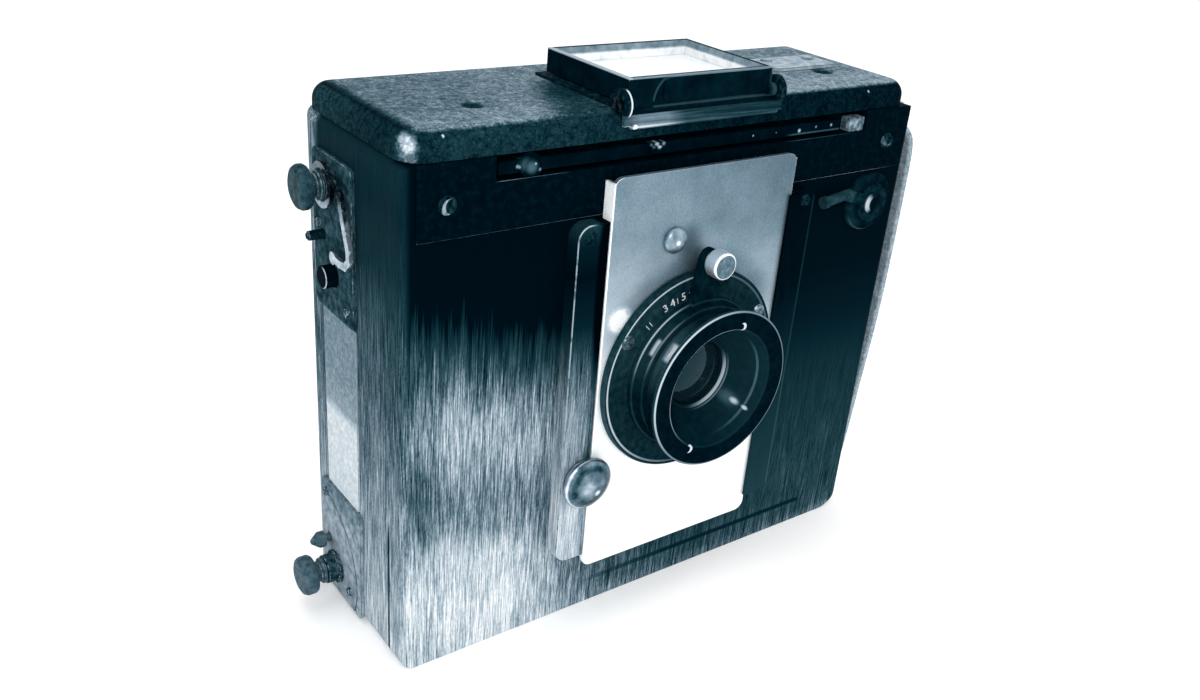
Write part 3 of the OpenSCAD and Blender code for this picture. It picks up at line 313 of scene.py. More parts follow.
def reach(x, z, cx=LENS_X, cz=LENS_Z):
    """Distance from an axis that faces front."""
    dx, dz = x - cx, z - cz
    return calc("SQRT", dx * dx + dz * dz)


def ring_share(x, z, radius, width, cx=LENS_X, cz=LENS_Z):
    """1 on a ring round an axis that faces front, in millimetres."""
    return ramp(abs(reach(x, z, cx, cz) - radius), width, width * 0.45)


def strip(coordinate, at, width, core, start=0.0, end=1.0):
    """end within core of a place along a coordinate, start beyond width, smooth between, in millimetres."""
    return ramp(abs(coordinate - at), width, core, start, end)


def towards(x, z, angle, spread, cx=LENS_X, cz=LENS_Z):
    """1 in the direction angle from the lens axis, 0 when more than spread degrees away."""
    turn = calc("ARCTAN2", z - cz, x - cx)
    off = calc("COSINE", turn - math.radians(angle))
    return ramp(off, math.cos(math.radians(spread)), 1.0)


def spot(x, z, cx, cz, radius, soft=0.3):
    """1 inside a round spot, soft at its edge."""
    return ramp(reach(x, z, cx, cz), radius, radius * soft)


def surface(name, tone, rough=0.35, metal=0.0, relief=0.0, gloss=1.02):
    """Material whose tone(where, x, y, z) gives a tone, or that and a height from 0 to 1; relief is how many
    millimetres deep the heights go, rough the roughness where they are 0.
    gloss is the index of a coat's refraction: low on old enamel, whose shine is dulled."""
    made, tree, shader = blank(name)
    where, x, y, z = place(tree)
    level = tone(where, x, y, z)
    level, height = level if isinstance(level, tuple) else (level, level)
    slate(level, 1.0 if metal else DIFFUSE).to(shader.inputs["Base Color"])
    ramp(height, 0.0, 1.0, rough, min(rough + 0.25, 1.0)).to(shader.inputs["Roughness"])
    if callable(metal):
        metal(x, y, z).to(shader.inputs["Metallic"])
    else:
        shader.inputs["Metallic"].default_value = metal
    if not metal:
        shader.inputs["IOR"].default_value = gloss
        shader.inputs["Specular Tint"].default_value = linear(SHEEN)
    if relief:
        worked("ShaderNodeBump", None, {"Height": height, "Distance": relief * MM, "Strength": 0.5}).to(
            shader.inputs["Normal"])
    return made


def two_toned(name, low, high, scale, amount, settings, bias=0.5, detail=4.0):
    """Material that wanders between two sRGB hex colours, with constants on its shader."""
    made, tree, shader = blank(name)
    blend(stir(place(tree)[0], scale, amount, detail) + bias, linear(low), linear(high)).to(
        shader.inputs["Base Color"])
    for key, number in settings.items():
        shader.inputs[key].default_value = number
    return made


def streaks(where, level, amount=1.15):
    """Adds fine vertical streaks to a tone: none on deep lacquer, strong where the tone is pale."""
    fine = MM / bpy.context.scene.case_settings.streak_width
    fibre = (stir(where, (fine, fine, fine / 30), 1.35, 3, 0.65) + stir(where, (0.35, 0.35, 0.03), 0.3, 2)
             + stir(where, (2.6, 2.6, 0.9), 0.35, 2))
    return level + fibre * ramp(level, 0.07, 0.4) * amount, fibre


def lacquer_wear_and_painted_light(where, x, y, z):
    """Deep black above; pale in streaks below, most at the lower left of the front and on the side: partly
    rubbed wear, partly painted reflected light, with two painted shadow lines in grooves.
    """
    s = bpy.context.scene.case_settings
    top = s.streak_top / MM
    ragged = stir(where, (0.4, 0.4, 0.02), 26, 2) + stir(where, (2, 2, 0.03), 22, 2)
    skew = z + (x + 62) * 0.3 + ragged * ramp(z, 66, 92, 0.12, 1)
    # Painted reflected light: the front is pale at its lower left and fades to black higher up, with rubbed
    # streaks
    left = profile(skew, (
        (-4, s.foot_wear_and_glare), (14, s.foot_wear_and_glare + 0.04), (24, s.foot_wear_and_glare - 0.02), (31, s.foot_wear_and_glare - 0.03), (35, s.foot_wear_and_glare - 0.12),
        (40, s.foot_wear_and_glare - 0.25), (49, s.foot_wear_and_glare - 0.34), (56, s.foot_wear_and_glare - 0.26), (66, s.foot_wear_and_glare - 0.14), (72, s.foot_wear_and_glare - 0.18),
        (top - 26, 0.56), (top - 22, 0.46), (top - 14, 0.26), (top - 7, 0.16), (top - 2, 0.045), (150, 0.035)))
    left = left - ramp(x, -72, -81) * profile(z, ((26, 0), (42, 0.18), (80, 0.22), (95, 0)))
    # Painted reflected light: paler towards the foot on the right
    right = profile(z, (
        (0, 0.4), (4, 0.27), (12, 0.22), (35, 0.195), (60, 0.14), (78, 0.08), (95, 0.055), (143, 0.045)))
    # Painted shadow line in the groove under the board
    right = right + strip(z, 8, 1.1, 0.5) * ramp(x, -28, -20) * ramp(x, 65, 63.5) * -0.14
    front = mix(profile(x, ((-50, 0), (-42, 0.1), (-34, 0.45), (-28, 0.6), (-20, 0.78), (6, 1))), left, right)
    # Painted light: the side is paler towards its foot
    side = profile(z, (
        (0, 0.74), (14, 0.72), (32, 0.61), (52, 0.48), (66, 0.41), (78, 0.32), (90, 0.3), (104, 0.23),
        (115, 0.16), (131, 0.12), (143, 0.14)))
    side = side + ramp(y, 18, 22) * profile(z, (
        (30, -0.12), (46, -0.24), (60, -0.24), (85, -0.08), (96, 0.17), (108, 0.36), (143, 0.34)))
    corner = ramp(x, CASE_LOW.x + 2.4, CASE_LOW.x + 0.4)
    level = mix(most(corner, ramp(y, CASE_LOW.y + 4, CASE_LOW.y + 8)), front, side)
    # Painted shadow line in the groove beside the front edge
    level = level - strip(y, -19.6, 0.75, 0.25) * ramp(z, 46, 38) * corner * 0.5
    right_end = ramp(z, 142.6, 142.9) * ramp(x, 81, 82.5) * ramp(y, -8, -14) * 0.5
    return streaks(where, most(level, right_end))


def enamel(share=None, mottle=0.05):
    """Stoved black enamel: an even dark tone, with a pale edge tone where share(x, y, z) says: bare metal on
    rubbed edges, and painted highlights on edges that face the light.
    """
    def made(where, x, y, z):
        s = bpy.context.scene.metal_settings
        level = s.enamel + stir(where, 0.5, mottle * 2.4)
        if share is None:
            return level
        rub = ramp(stir(where, 0.35, 1, 3), -0.22, 0, 0.45, 1)
        return mix(share(x, y, z) * rub, level, s.edge)
    return made


def plain(tone, mottle=0.12, cells=0.7, fade=None):
    """Metal of an even tone with tarnish in patches, cells of them per millimetre; fade(x, y, z) is added, on
    most pieces a painted light and shade by place.
    """
    def made(where, x, y, z):
        level = tone + stir(where, cells, mottle * 2.4, 5, 0.62)
        return level if fade is None else level + fade(x, y, z)
    return made


def leather(top, side, pebble=0.16, cells=1.1):
    """Grained leather: pebbles with dark valleys; side gives the tone below the top's edge, on the lid painted
    darker as shade, and may be None.
    """
    def made(where, x, y, z):
        level = top(x, y, z)
        if side is not None:
            level = mix(ramp(z, LID_TOP - 0.9, LID_TOP - 0.15), side(x, y, z), level)
        grain = worked("ShaderNodeTexVoronoi", {"feature": "DISTANCE_TO_EDGE"},
                       {"Vector": where, "Scale": cells}, "Distance")
        height = ramp(grain, 0.02, 0.35)
        speck = stir(where, 0.75, 2.4, 5, 0.72) + stir(where, 0.16, 0.6) + (height - 0.6) * 0.3
        return level + speck * ramp(level, 0.03, 0.4, pebble * 0.5, pebble * 2.6), height
    return made


def paint(material, *nodes):
    """Gives nodes of the frame their material."""
    for node in nodes:
        data = CAD[node].data
        data.materials.clear()
        data.materials.append(material)
        for face in data.polygons:
            face.material_index = 0


# ---- mesh helpers ---------------------------------------------------------

def finish(bm, name, materials, body, smooth=None):
    """Turns a bmesh into a piece that rides on a body of the frame. Its edges look sharp above smooth degrees,
    and without smooth all its faces look flat."""
    bmesh.ops.remove_doubles(bm, verts=bm.verts, dist=1e-7)
    bmesh.ops.recalc_face_normals(bm, faces=bm.faces)
    data = bpy.data.meshes.new(name)
    bm.to_mesh(data)
    bm.free()
    for material in materials:
        data.materials.append(material)
    made = bpy.data.objects.new(name, data)
    bpy.context.scene.collection.objects.link(made)
    if smooth is not None:
        for face in data.polygons:
            face.use_smooth = True
        data.set_sharp_from_angle(angle=math.radians(smooth))
    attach(made, body)
    return made


def rounded(node, name, faces, edges, width, keep=None):
    """Copy of a node with its edges rounded, as filing and polishing leave them; it stands for the node.
    The rounding takes the second material, on most pieces paler for rubbed edges and painted highlights.
    keep(edge) chooses which sharp edges are rounded."""
    bm = bmesh.new()
    bm.from_mesh(CAD[node].data)
    bmesh.ops.remove_doubles(bm, verts=bm.verts, dist=2e-6)
    bmesh.ops.dissolve_limit(bm, angle_limit=math.radians(0.6), verts=bm.verts, edges=bm.edges)
    for face in bm.faces:
        face.material_index = 0
    sharp = [e for e in bm.edges if e.is_manifold and e.calc_face_angle(0) > math.radians(38)
             and (keep is None or keep(e))]
    made = bmesh.ops.bevel(bm, geom=sharp, offset=width, affect="EDGES", segments=2, profile=0.5, material=-1,
                           clamp_overlap=True)
    for face in made["faces"]:
        face.material_index = 1
    piece = finish(bm, name, [faces, edges], CAD[node]["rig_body"], 32)
    even = piece.modifiers.new("flat faces shade flat", "WEIGHTED_NORMAL")
    even.keep_sharp = True
    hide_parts(node)
    return piece


def block(low, high):
    """New bmesh of a box between two corners."""
    bm = bmesh.new()
    bmesh.ops.create_cube(bm, size=1)
    bmesh.ops.scale(bm, verts=bm.verts, vec=high - low)
    bmesh.ops.translate(bm, verts=bm.verts, vec=(low + high) / 2)
    return bm


def vertical(edges):
    """Those of the edges that stand upright."""
    return [e for e in edges if abs(e.verts[0].co.z - e.verts[1].co.z) > 1e-5
            and (e.verts[0].co.xy - e.verts[1].co.xy).length < 1e-6]


# ---- operators ------------------------------------------------------------

class CAMERA_OT_stage(bpy.types.Operator):
    """Floor, lights, world and the camera at the photograph's place"""
    bl_idname = "platecamera.stage"
    bl_label = "Stage"

    def execute(self, context):
        s = context.scene.stage_settings
        # Even white, a touch greyer in soft clouds, without shine
        made, tree, shader = blank("matt white card")
        white = linear(s.floor)
        greyer = [c * 0.9 for c in white[:3]] + [1.0]
        blend(abs(stir(place(tree)[0], 0.03, 0.06)), white, greyer).to(shader.inputs["Base Color"])
        shader.inputs["Roughness"].default_value = 0.9
        shader.inputs["Specular IOR Level"].default_value = 0.0
        bm = bmesh.new()
        bmesh.ops.create_grid(bm, x_segments=2, y_segments=2, size=3)
        bmesh.ops.translate(bm, verts=bm.verts, vec=(0, 0, -0.0002))
        data = bpy.data.meshes.new("floor")
        bm.to_mesh(data)
        bm.free()
        data.materials.append(made)
        floor = bpy.data.objects.new("floor", data)
        context.scene.collection.objects.link(floor)

        world = bpy.data.worlds.new("white room")
        context.scene.world = world
        world.use_nodes = True
        nodes = world.node_tree
        nodes.nodes.clear()
        path = add("ShaderNodeLightPath", tree=nodes).outputs
        seen = most(*(Value(path[ray]) for ray in ("Is Camera Ray", "Is Glossy Ray", "Is Transmission Ray")))
        ground = worked("ShaderNodeBackground", None,
                        {"Color": (1, 1, 1, 1), "Strength": mix(seen, s.sky, 1)})
        ground.to(add("ShaderNodeOutputWorld", tree=nodes).inputs[0])

        aim = Vector((0, 0, 0.07))  # middle of the camera
        for name, stand, size, power in (
                ("key", (-0.55, -0.75, 0.62), 0.35, s.key),
                ("fill", (0.75, -0.7, 0.45), 0.9, s.fill),
                ("top", (0.05, 0.2, 0.95), 0.8, s.fill)):
            lamp = bpy.data.lights.new(name, "AREA")
            lamp.energy = power
            lamp.size = size
            holder = bpy.data.objects.new(name, lamp)
            context.scene.collection.objects.link(holder)
            holder.location = stand
            holder.rotation_euler = (aim - Vector(stand)).to_track_quat("-Z", "Y").to_euler()

        # Lens, shift, angles and place are solved from the case's edges in the photo
        view = bpy.data.cameras.new("photo view")
        view.sensor_width = 36.0
        view.lens = 33.94
        view.shift_x = -0.0035
        view.shift_y = 0.0021
        view.clip_start = 0.01
        eye = bpy.data.objects.new("photo view", view)
        context.scene.collection.objects.link(eye)
        turn, tilt, roll = math.radians(-38.04), math.radians(26.36), math.radians(5.11)
        ahead = Vector((-math.sin(turn) * math.cos(tilt), math.cos(turn) * math.cos(tilt), -math.sin(tilt)))
        side = ahead.cross(Vector((0, 0, 1))).normalized()
        up = side.cross(ahead)
        right = side * math.cos(roll) + up * math.sin(roll)
        top = up * math.cos(roll) - side * math.sin(roll)
        basis = Matrix((right, top, -ahead)).transposed().to_4x4()
        eye.matrix_world = Matrix.Translation((-0.19352, -0.2429, 0.21987)) @ basis
        context.scene.camera = eye
        context.scene.view_settings.view_transform = "Standard"
        return {"FINISHED"}


class CAMERA_OT_case(bpy.types.Operator):
    """Lacquered wood, enamelled band and rails, and the plates on the side"""
    bl_idname = "platecamera.case"
    bl_label = "Case"

    def execute(self, context):
        width = context.scene.metal_settings.edge_width
        # Blue-black, pale grey in streaks towards the foot: partly rubbed by hands, partly painted reflected
        # light
        paint(surface("black lacquer on pear wood", lacquer_wear_and_painted_light, 0.3, relief=0.05), "body_shell", "front_case")

        # Even blue-black with a dulled shine; silver along the band's edges, partly bare metal and partly
        # painted highlights
        black = surface("stoved enamel on brass", enamel(), 0.25)
        band_foot = span("front_band")[0].z

        # Painted highlight along the band's lower edge, brightest on the right, and paler patches in the recess
        # above
        def band_edge(x, y, z):
            recess = strip(z, 137, 1, 0.5) * profile(x, (
                (-62, 0), (-60, 0.55), (-44, 0.4), (-40, 0), (30, 0), (36, 0.35), (55, 0.2), (60, 0)))
            return most(recess, ramp(z, band_foot + 0.7, band_foot + 0.1) * profile(x, (
                (-86, 0.35), (-40, 0.5), (-31, 0.75), (33, 0.8), (70, 0.8), (79, 0.25), (86, 0.1))))
        rounded("front_band", "enamelled_band", black,
                surface("rubbed and lit lower edge of band", enamel(band_edge, 0.03), 0.3), width * 1.5)

        low, high = span("rail_left")

        # Paler towards the foot as painted reflected light, like the front, and darker towards its inner side
        def rail_face(where, x, y, z):
            level = profile(z, ((20, 0.78), (42, 0.77), (58, 0.57), (74, 0.53), (86, 0.29), (96, 0.1),
                                (110, 0.05), (118, 0.08), (124, 0.2)))
            return streaks(where, level - ramp(x, low.x + 6, low.x + 8.5, 0, 0.25), 0.9)

        # Painted highlights along the outer edge and on the rounded top
        def rail_edge(x, y, z):
            crown = ramp(z, high.z - 6, high.z - 2) * ramp(x, low.x + 7, low.x + 3)
            return most(ramp(x, low.x + 1.4, low.x + 0.5) * 0.85, crown)
        rounded("rail_left", "left_board_rail",
                surface("worn and lit enamel on left rail", rail_face, 0.3, relief=0.03),
                surface("bare and lit edge of left rail", enamel(rail_edge), 0.3), width * 1.4,
                keep=lambda e: all(v.co.y < low.y * MM + 0.001 for v in e.verts))

        def right_face(where, x, y, z):
            return (profile(z, ((20, 0.22), (60, 0.14), (95, 0.05), (124, 0.03)))
                    + stir(where, (0.3, 0.3, 0.1), 0.05) + strip(x, 42.1, 0.4, 0.2, 0, 0.09))
        # Black above, dark slate at its foot as painted reflected light, with a paler seam
        paint(surface("enamel on right rail", right_face, 0.3), "rail_right")

        # Dark slate with cloudy patches and brighter edges, partly rubbed and partly painted highlights; the
        # lower plate is painted pale, as lit from below, darker towards its top
        plate = surface("bronzed plate with tarnish", plain(0.24, 0.3, 0.45), 0.4, relief=0.03)

        def lower_plate_light(x, y, z):
            return ramp(z, 26, 36, 0, -0.12)
        lower = surface("bronzed plate, painted pale by light", plain(0.63, 0.34, 0.4, lower_plate_light), 0.4, relief=0.03)
        bright = surface("rubbed and lit edge of bronzed plate", plain(0.34, 0.6), 0.3)
        rounded("side_plate_upper", "upper_side_plate", plate, bright, width * 0.9)
        rounded("side_plate_lower", "lower_side_plate", lower, bright, width * 0.9)

        # Soft light grey without a clear reflection, darker in its upper part as painted shadow under the upper
        # plate
        def inlay_plate_shadow(x, y, z):
            return profile(z, ((37, 0.31), (50, 0.35), (62, 0.35), (65.5, 0.1), (75, 0.03), (93, 0)))
        rounded("side_inlay", "side_inlay_plate",
                surface("dull german silver", plain(0.53, 0.2, 0.8, inlay_plate_shadow), 0.45, relief=0.02),
                surface("edge of inlay", plain(0.6, 0.2), 0.3), width * 0.7)
        # Light grey in broad clouds
        rounded("lid_plate", "small_lid_plate",
                surface("tarnished silver plate", plain(0.7, 0.3, 0.35), 0.4, relief=0.02),
                surface("edge of small plate", plain(0.4, 0.2), 0.3), width * 0.8)
        block = surface("dulled silver block", plain(0.47, 0.55, 0.6), 0.4)
        rounded("latch_block", "latch_light_block", block, block, width)

        # Light grey with clear reflections; studs and collars are darker and patchy
        paint(surface("bright steel", plain(0.75, 0.3), 0.2, 1), "strap_buttons", "hinge_pin")
        paint(surface("steel stud in bronzed plate", plain(0.4, 0.9, 1.2), 0.2), "side_studs")
        # Collars' rims speckled with painted glints
        rounded("shaft_bushes", "shaft_collars", surface("browned collar", plain(0.24, 0.35, 0.6), 0.3),
                surface("rubbed rim of collar with glints", plain(0.36, 1, 0.9), 0.2), width * 0.8)

        # Light grey with sharp reflections, darker in its upper leg
        def leg_fade(x, y, z):
            return ramp(z, 127, 121, -0.25, 0.15)
        rounded("brake_lever", "bent_brake_lever",
                surface("bright bent steel", plain(0.52, 0.4, 0.5, leg_fade), 0.2, 1),
                surface("polished edge of lever", plain(0.9, 0.2), 0.15, 1), width)

        # Nearly black, with a thin painted highlight crescent at its rim
        def screw_tone(where, x, y, z):
            level = 0.13 + stir(where, 0.9, 0.6)
            for cx, cz, tone in ((-73.6, 132.6, 0.5), (73.6, 133.9, 0.25)):
                crescent = spot(x, z, cx, cz, 2.4, 0.9) - spot(x, z, cx + 0.6, cz + 0.3, 2.1, 0.85)
                level = level + most(crescent, 0) * tone
            return level
        paint(surface("blued screw head", screw_tone, 0.3), "front_screws")

        # Dark slate, paler below as painted light, with a rim painted paler where it catches the light
        def knob_light_below(x, y, z):
            return ramp(z, 40, 60, 0, -0.11)
        turned = surface("browned turned brass", plain(0.36, 0.25, 0.5, knob_light_below), 0.25, gloss=1.06)
        rim = surface("rubbed and lit rim of knob", plain(0.42, 0.7, 0.8), 0.2, gloss=1.06)
        for node, name in (("wind_knob", "winding_knob"), ("tension_knob", "tension_setting_knob"),
                           ("brake_pin", "pointed_brake_knob")):
            rounded(node, name, turned, rim, width * 0.9)
        rounded("wind_stop_pin", "turned_stop_pin",
                surface("browned stop pin", plain(0.1, 0.2, 0.5), 0.25), rim, width * 0.5)
        # Painted highlight round the front rim of the release button
        release_rim_highlight = enamel(lambda x, y, z: ramp(y, 10, 7.5), 0.04)
        rounded("release_button", "enamelled_release", black,
                surface("rim of release", release_rim_highlight, 0.25), width)

        dial = (70.0, 114.9)  # its axis: x and z, in millimetres

        def screw_gleam(x, z):
            return ring_share(x, z, 2.9, 0.85, *dial) * towards(x, z, 178, 80, *dial) * 0.8

        def dial_tone(where, x, y, z):
            level = 0.065 + ramp(x, 70, 62, 0, 0.05) + stir(where, 0.28, 1.3, 4, 0.7) * 0.16
            foot = ring_share(x, z, 8.8, 0.35, *dial) * towards(x, z, 245, 60, *dial) * 0.28
            return most(level, 0.04, foot, screw_gleam(x, z))

        def lever_tone(where, x, y, z):
            arm = ramp(reach(x, z, *dial), 8.5, 10, 0, 0.12)
            return most(0.1 + arm + stir(where, 0.4, 0.3), screw_gleam(x, z))
        # Black with grey clouds, paler to the left, with a painted highlight arc round the screw in its middle
        # and another along the lower left of its rim; the lever shares the screw's painted highlight
        rounded("shutter_dial", "shutter_dial_disc", surface("mottled enamel on dial", dial_tone, 0.3),
                surface("edge of dial", plain(0.2, 0.4, 0.4), 0.3), width)
        rounded("dial_lever", "round_dial_lever", surface("tarnished lever", lever_tone, 0.3),
                surface("rubbed edge of lever", plain(0.15, 0.5, 0.4), 0.25), width)

        clamp = (-32.5, 49.0)  # axis of the clamp knob: x and z, in millimetres

        def dome_painted_light(x, y, z):
            away = reach(x, z, *clamp)
            rim = ramp(away, 6.8, 7.3) * towards(x, z, 200, 90, *clamp) * 0.45
            return (strip(away, 5.4, 1.3, 0.3, 0, -0.16) + rim + spot(x, z, -33.6, 48.6, 3.6, 0.1) * 0.3
                    + spot(x, z, -30.2, 46.2, 1.3, 0.3) * 0.5)
        # Grey dome with painted highlights: a light middle, a bright spot and a bright arc of the outer ring to
        # the left, with a darker ring between
        rounded("board_lock_knob", "clamp_knob",
                surface("tarnished dome", plain(0.42, 0.3, 0.4, dome_painted_light), 0.22, 1),
                surface("bright rim of dome", plain(0.7, 0.4, 0.4), 0.2, 1), width)

        # Plain black
        paint(surface("enamel on hinge", plain(0.1, 0.12), 0.35), "case_hinge_leaf", "lid_hinge_leaf",
              "back_rails")
        # Warm yellow with brown tarnish
        paint(two_toned("turned brass", "#B48E4E", "#5C4522", 0.5, 1.2,
                        {"Metallic": 1, "Roughness": 0.3}, 0.4),
              "tripod_socket", "glass_retainer", "wind_ratchet", "tension_ratchet")
        return {"FINISHED"}


class CAMERA_OT_latch(bpy.types.Operator):
    """Blackened bar of the lid's latch with its button, lugs and screws"""
    bl_idname = "platecamera.latch"
    bl_label = "Latch"

    def execute(self, context):
        def bar_tone(where, x, y, z):
            specks = 0.0
            for cx, cz, radius, tone in (
                    (37, 139.4, 0.9, 0.7), (43.1, 141.9, 0.7, 0.3), (43.5, 139.9, 0.6, 0.5),
                    (49.6, 139.9, 0.7, 0.6), (19.5, 139.7, 0.5, 0.6), (28.1, 139.7, 0.4, 0.4),
                    (-13.8, 140.7, 1.2, 0.75), (-11.6, 140.8, 0.9, 0.5), (-15.6, 140.7, 0.8, 0.4),
                    (-53.3, 140.2, 2.4, 0.3), (-55.2, 139.7, 0.8, 0.6), (-51, 139.5, 0.7, 0.5),
                    (-52.3, 141, 0.6, 0.6)):
                specks = most(specks, spot(x, z, cx, cz, radius, 0.2) * tone)
            foot = strip(z, 138.5, 0.4, 0.1) * ramp(x, 31, 35) * 0.22
            return 0.05 + stir(where, 0.2, 0.1) + most(specks, foot)

        def bar_edge(where, x, y, z):
            return 0.07 + ramp(stir(where, 0.25, 1.6, 3), 0.1, 0.4, 0, 0.5)
        # Black, with single painted glints on its screws and edges, and a painted highlight along the right
        # part of its foot
        faces = surface("blackened latch steel", bar_tone, 0.3)
        rounded("latch_bar", "sliding_latch_bar", faces, surface("rubbed edge of latch steel", bar_edge, 0.3),
                context.scene.metal_settings.edge_width * 0.8)
        paint(faces, "lid_catches")
        return {"FINISHED"}


class CAMERA_OT_lens(bpy.types.Operator):
    """Board, flange, rings, glasses, iris and the focusing scale"""
    bl_idname = "platecamera.lens"
    bl_label = "Lens"

    def execute(self, context):
        s = context.scene.lens_settings
        width = context.scene.metal_settings.edge_width

        # Painted reflection: white glare of the floor below, grey above, paler to the left; a painted star
        # highlight left of the lens, the lens's painted shadow above it and the stop knob's painted shadow
        # beside the knob; the bent left side painted pale
        def board_tone(where, x, y, z):
            glare = profile(z + ramp(x, -8, 22) * 7, (
                (15, 1), (78, 0.92), (88, 0.72), (95, 0.4), (104, 0.03), (140, 0)))
            dull = profile(z, ((60, 0.72), (94, 0.72), (106, 0.64), (118, 0.53), (135, 0.49)))
            level = mix(glare, dull + ramp(x, -30, 25, 0.04, -0.05), s.glare)
            shade = ramp(reach(x, z), 38.5, 30.5) * ramp(z, LENS_Z + 6, LENS_Z + 20) * 0.17
            star = spot(x, z, -24.2, 95.6, 5, 0.1) * (0.55 + stir(where, 0.6, 1.2))
            stop_knob_shadow = spot(x, z, -3.5, 115, 6.5, 0.2) * 0.12
            grain = stir(where, 1.6, 0.2, 4, 0.65) + stir(where, 0.09, 0.16, 3)
            level = level + star + ramp(x, -29.2, -29.5, 0, 0.42) + (1 - glare) * grain
            return level - (shade + stop_knob_shadow)

        # Painted highlights along the board's rounded folds
        def fold_tone(where, x, y, z):
            return (board_tone(where, x, y, z) + 0.12 + ramp(x, -26, -28.5, 0, 0.4)
                    + ramp(x, 30.5, 32, 0, 0.35))
        # Painted white glare below that fades to soft grey above
        board = surface("rolled aluminium board", board_tone, 0.45, lambda x, y, z: ramp(x, -29.45, -29.2),
                        relief=0.01)
        rounded("lens_board", "folded_lens_board", board,
                surface("polished and lit fold of board", fold_tone, 0.35, 1), 0.0005)

        # Painted highlight in the middle of the stop knob's dome
        def stop_knob_highlight(x, y, z):
            return spot(x, z, -8.9, 115.6, 1, 0.2) * 0.5
        rounded("board_stop_knob", "board_stop_dome",
                surface("polished dome", plain(0.57, 0.25, 0.35, stop_knob_highlight), 0.25, 1),
                surface("bright rim of stop knob", plain(0.7, 0.3), 0.2, 1), width)

        def knob_tone(where, x, y, z):
            face = ramp(y, BOARD_LOW.y - 10.05, BOARD_LOW.y - 10.2)
            collar = ramp(y, BOARD_LOW.y - 5.2, BOARD_LOW.y - 5.6)
            grey = 0.41 + stir(where, 0.8, 0.5)
            return mix(face, mix(collar, 0.35, 0.93 + stir(where, (0.5, 4, 0.5), 0.2)), grey)
        # White collar with fine turning lines, grey end
        rounded("focus_knob", "turned_focus_knob", surface("turned nickel silver", knob_tone, 0.18, 1),
                surface("polished rim of knob", plain(0.93, 0.1), 0.15, 1), 0.0003)

        def painted_ring_reflection(x, z, amount):
            """Painted soft reflection that the round rings show at their upper left and lower right."""
            return (towards(x, z, 145, 40) + towards(x, z, -38, 30) * 0.6) * amount

        def patch(x, z, angle, spread):
            """Painted white reflection with a soft edge, for a few degrees round an angle."""
            return ramp(towards(x, z, angle, spread), 0.05, 0.8)

        def flange_tone(where, x, y, z):
            line = ring_share(x, z, FLANGE_R - 1.2, 0.42) * (0.35 + towards(x, z, 165, 110) * 0.65)
            rim = ring_share(x, z, FLANGE_R - 0.1, 0.35) * towards(x, z, 215, 60) * 0.2
            return mix(most(line, rim), 0.14 + stir(where, 0.5, 0.28) + painted_ring_reflection(x, z, 0.05), 0.88)
        # Black turned rings, each with thin light lines along an edge: painted highlights brightest towards the
        # upper left, partly where the enamel has gone
        paint(surface("enamel on flange", flange_tone, 0.25), "lens_flange")
        paint(surface("dull steel screws", plain(0.4, 0.5, 0.6), 0.3, 0.8), "flange_screws")

        # Painted highlights on the focusing ring's edges, brightest at the upper left, and a painted reflection
        # on its side
        def focus_tone(where, x, y, z):
            line = (ring_share(x, z, FOCUS_R - 0.2, 0.45) * ramp(y, -35.25, -35.45)
                    * (0.14 + towards(x, z, 137, 38) * 0.8))
            neck = (ring_share(x, z, FOCUS_R - 1.6, 0.4) * ramp(y, -38.1, -38.3)
                    * (0.08 + towards(x, z, 140, 30) * 0.4))
            gleam = patch(x, z, 144, 9) * ramp(y, -35.9, -37.2) * ramp(y, -38.5, -37.6)
            return mix(most(line, neck, gleam), 0.09 + stir(where, 0.4, 0.18) + painted_ring_reflection(x, z, 0.1), 0.82)
        paint(surface("enamel on focusing ring", focus_tone, 0.25), "focus_ring")

        def barrel_tone(where, x, y, z):
            gleam = patch(x, z, 141, 11) * ramp(y, -39.6, -41.8) * (0.9 + stir(where, (0.3, 0.9, 0.3), 1.2))
            return mix(gleam, 0.09 + stir(where, (0.3, 1.2, 0.3), 0.2) + painted_ring_reflection(x, z, 0.16), 0.93)
        # Black with one sharp painted white reflection along the barrel
        gloss = surface("glossy enamel on barrel", barrel_tone, 0.2)
        paint(gloss, "lens_barrel")
        # Painted highlight on the stop ring's edges, at its upper left
        stop_ring_highlight = enamel(lambda x, y, z: towards(x, z, 140, 60) * 0.7)
        rounded("aperture_ring", "knurled_stop_ring", gloss,
                surface("rubbed and lit edge of stop ring", stop_ring_highlight, 0.25), width * 0.7)

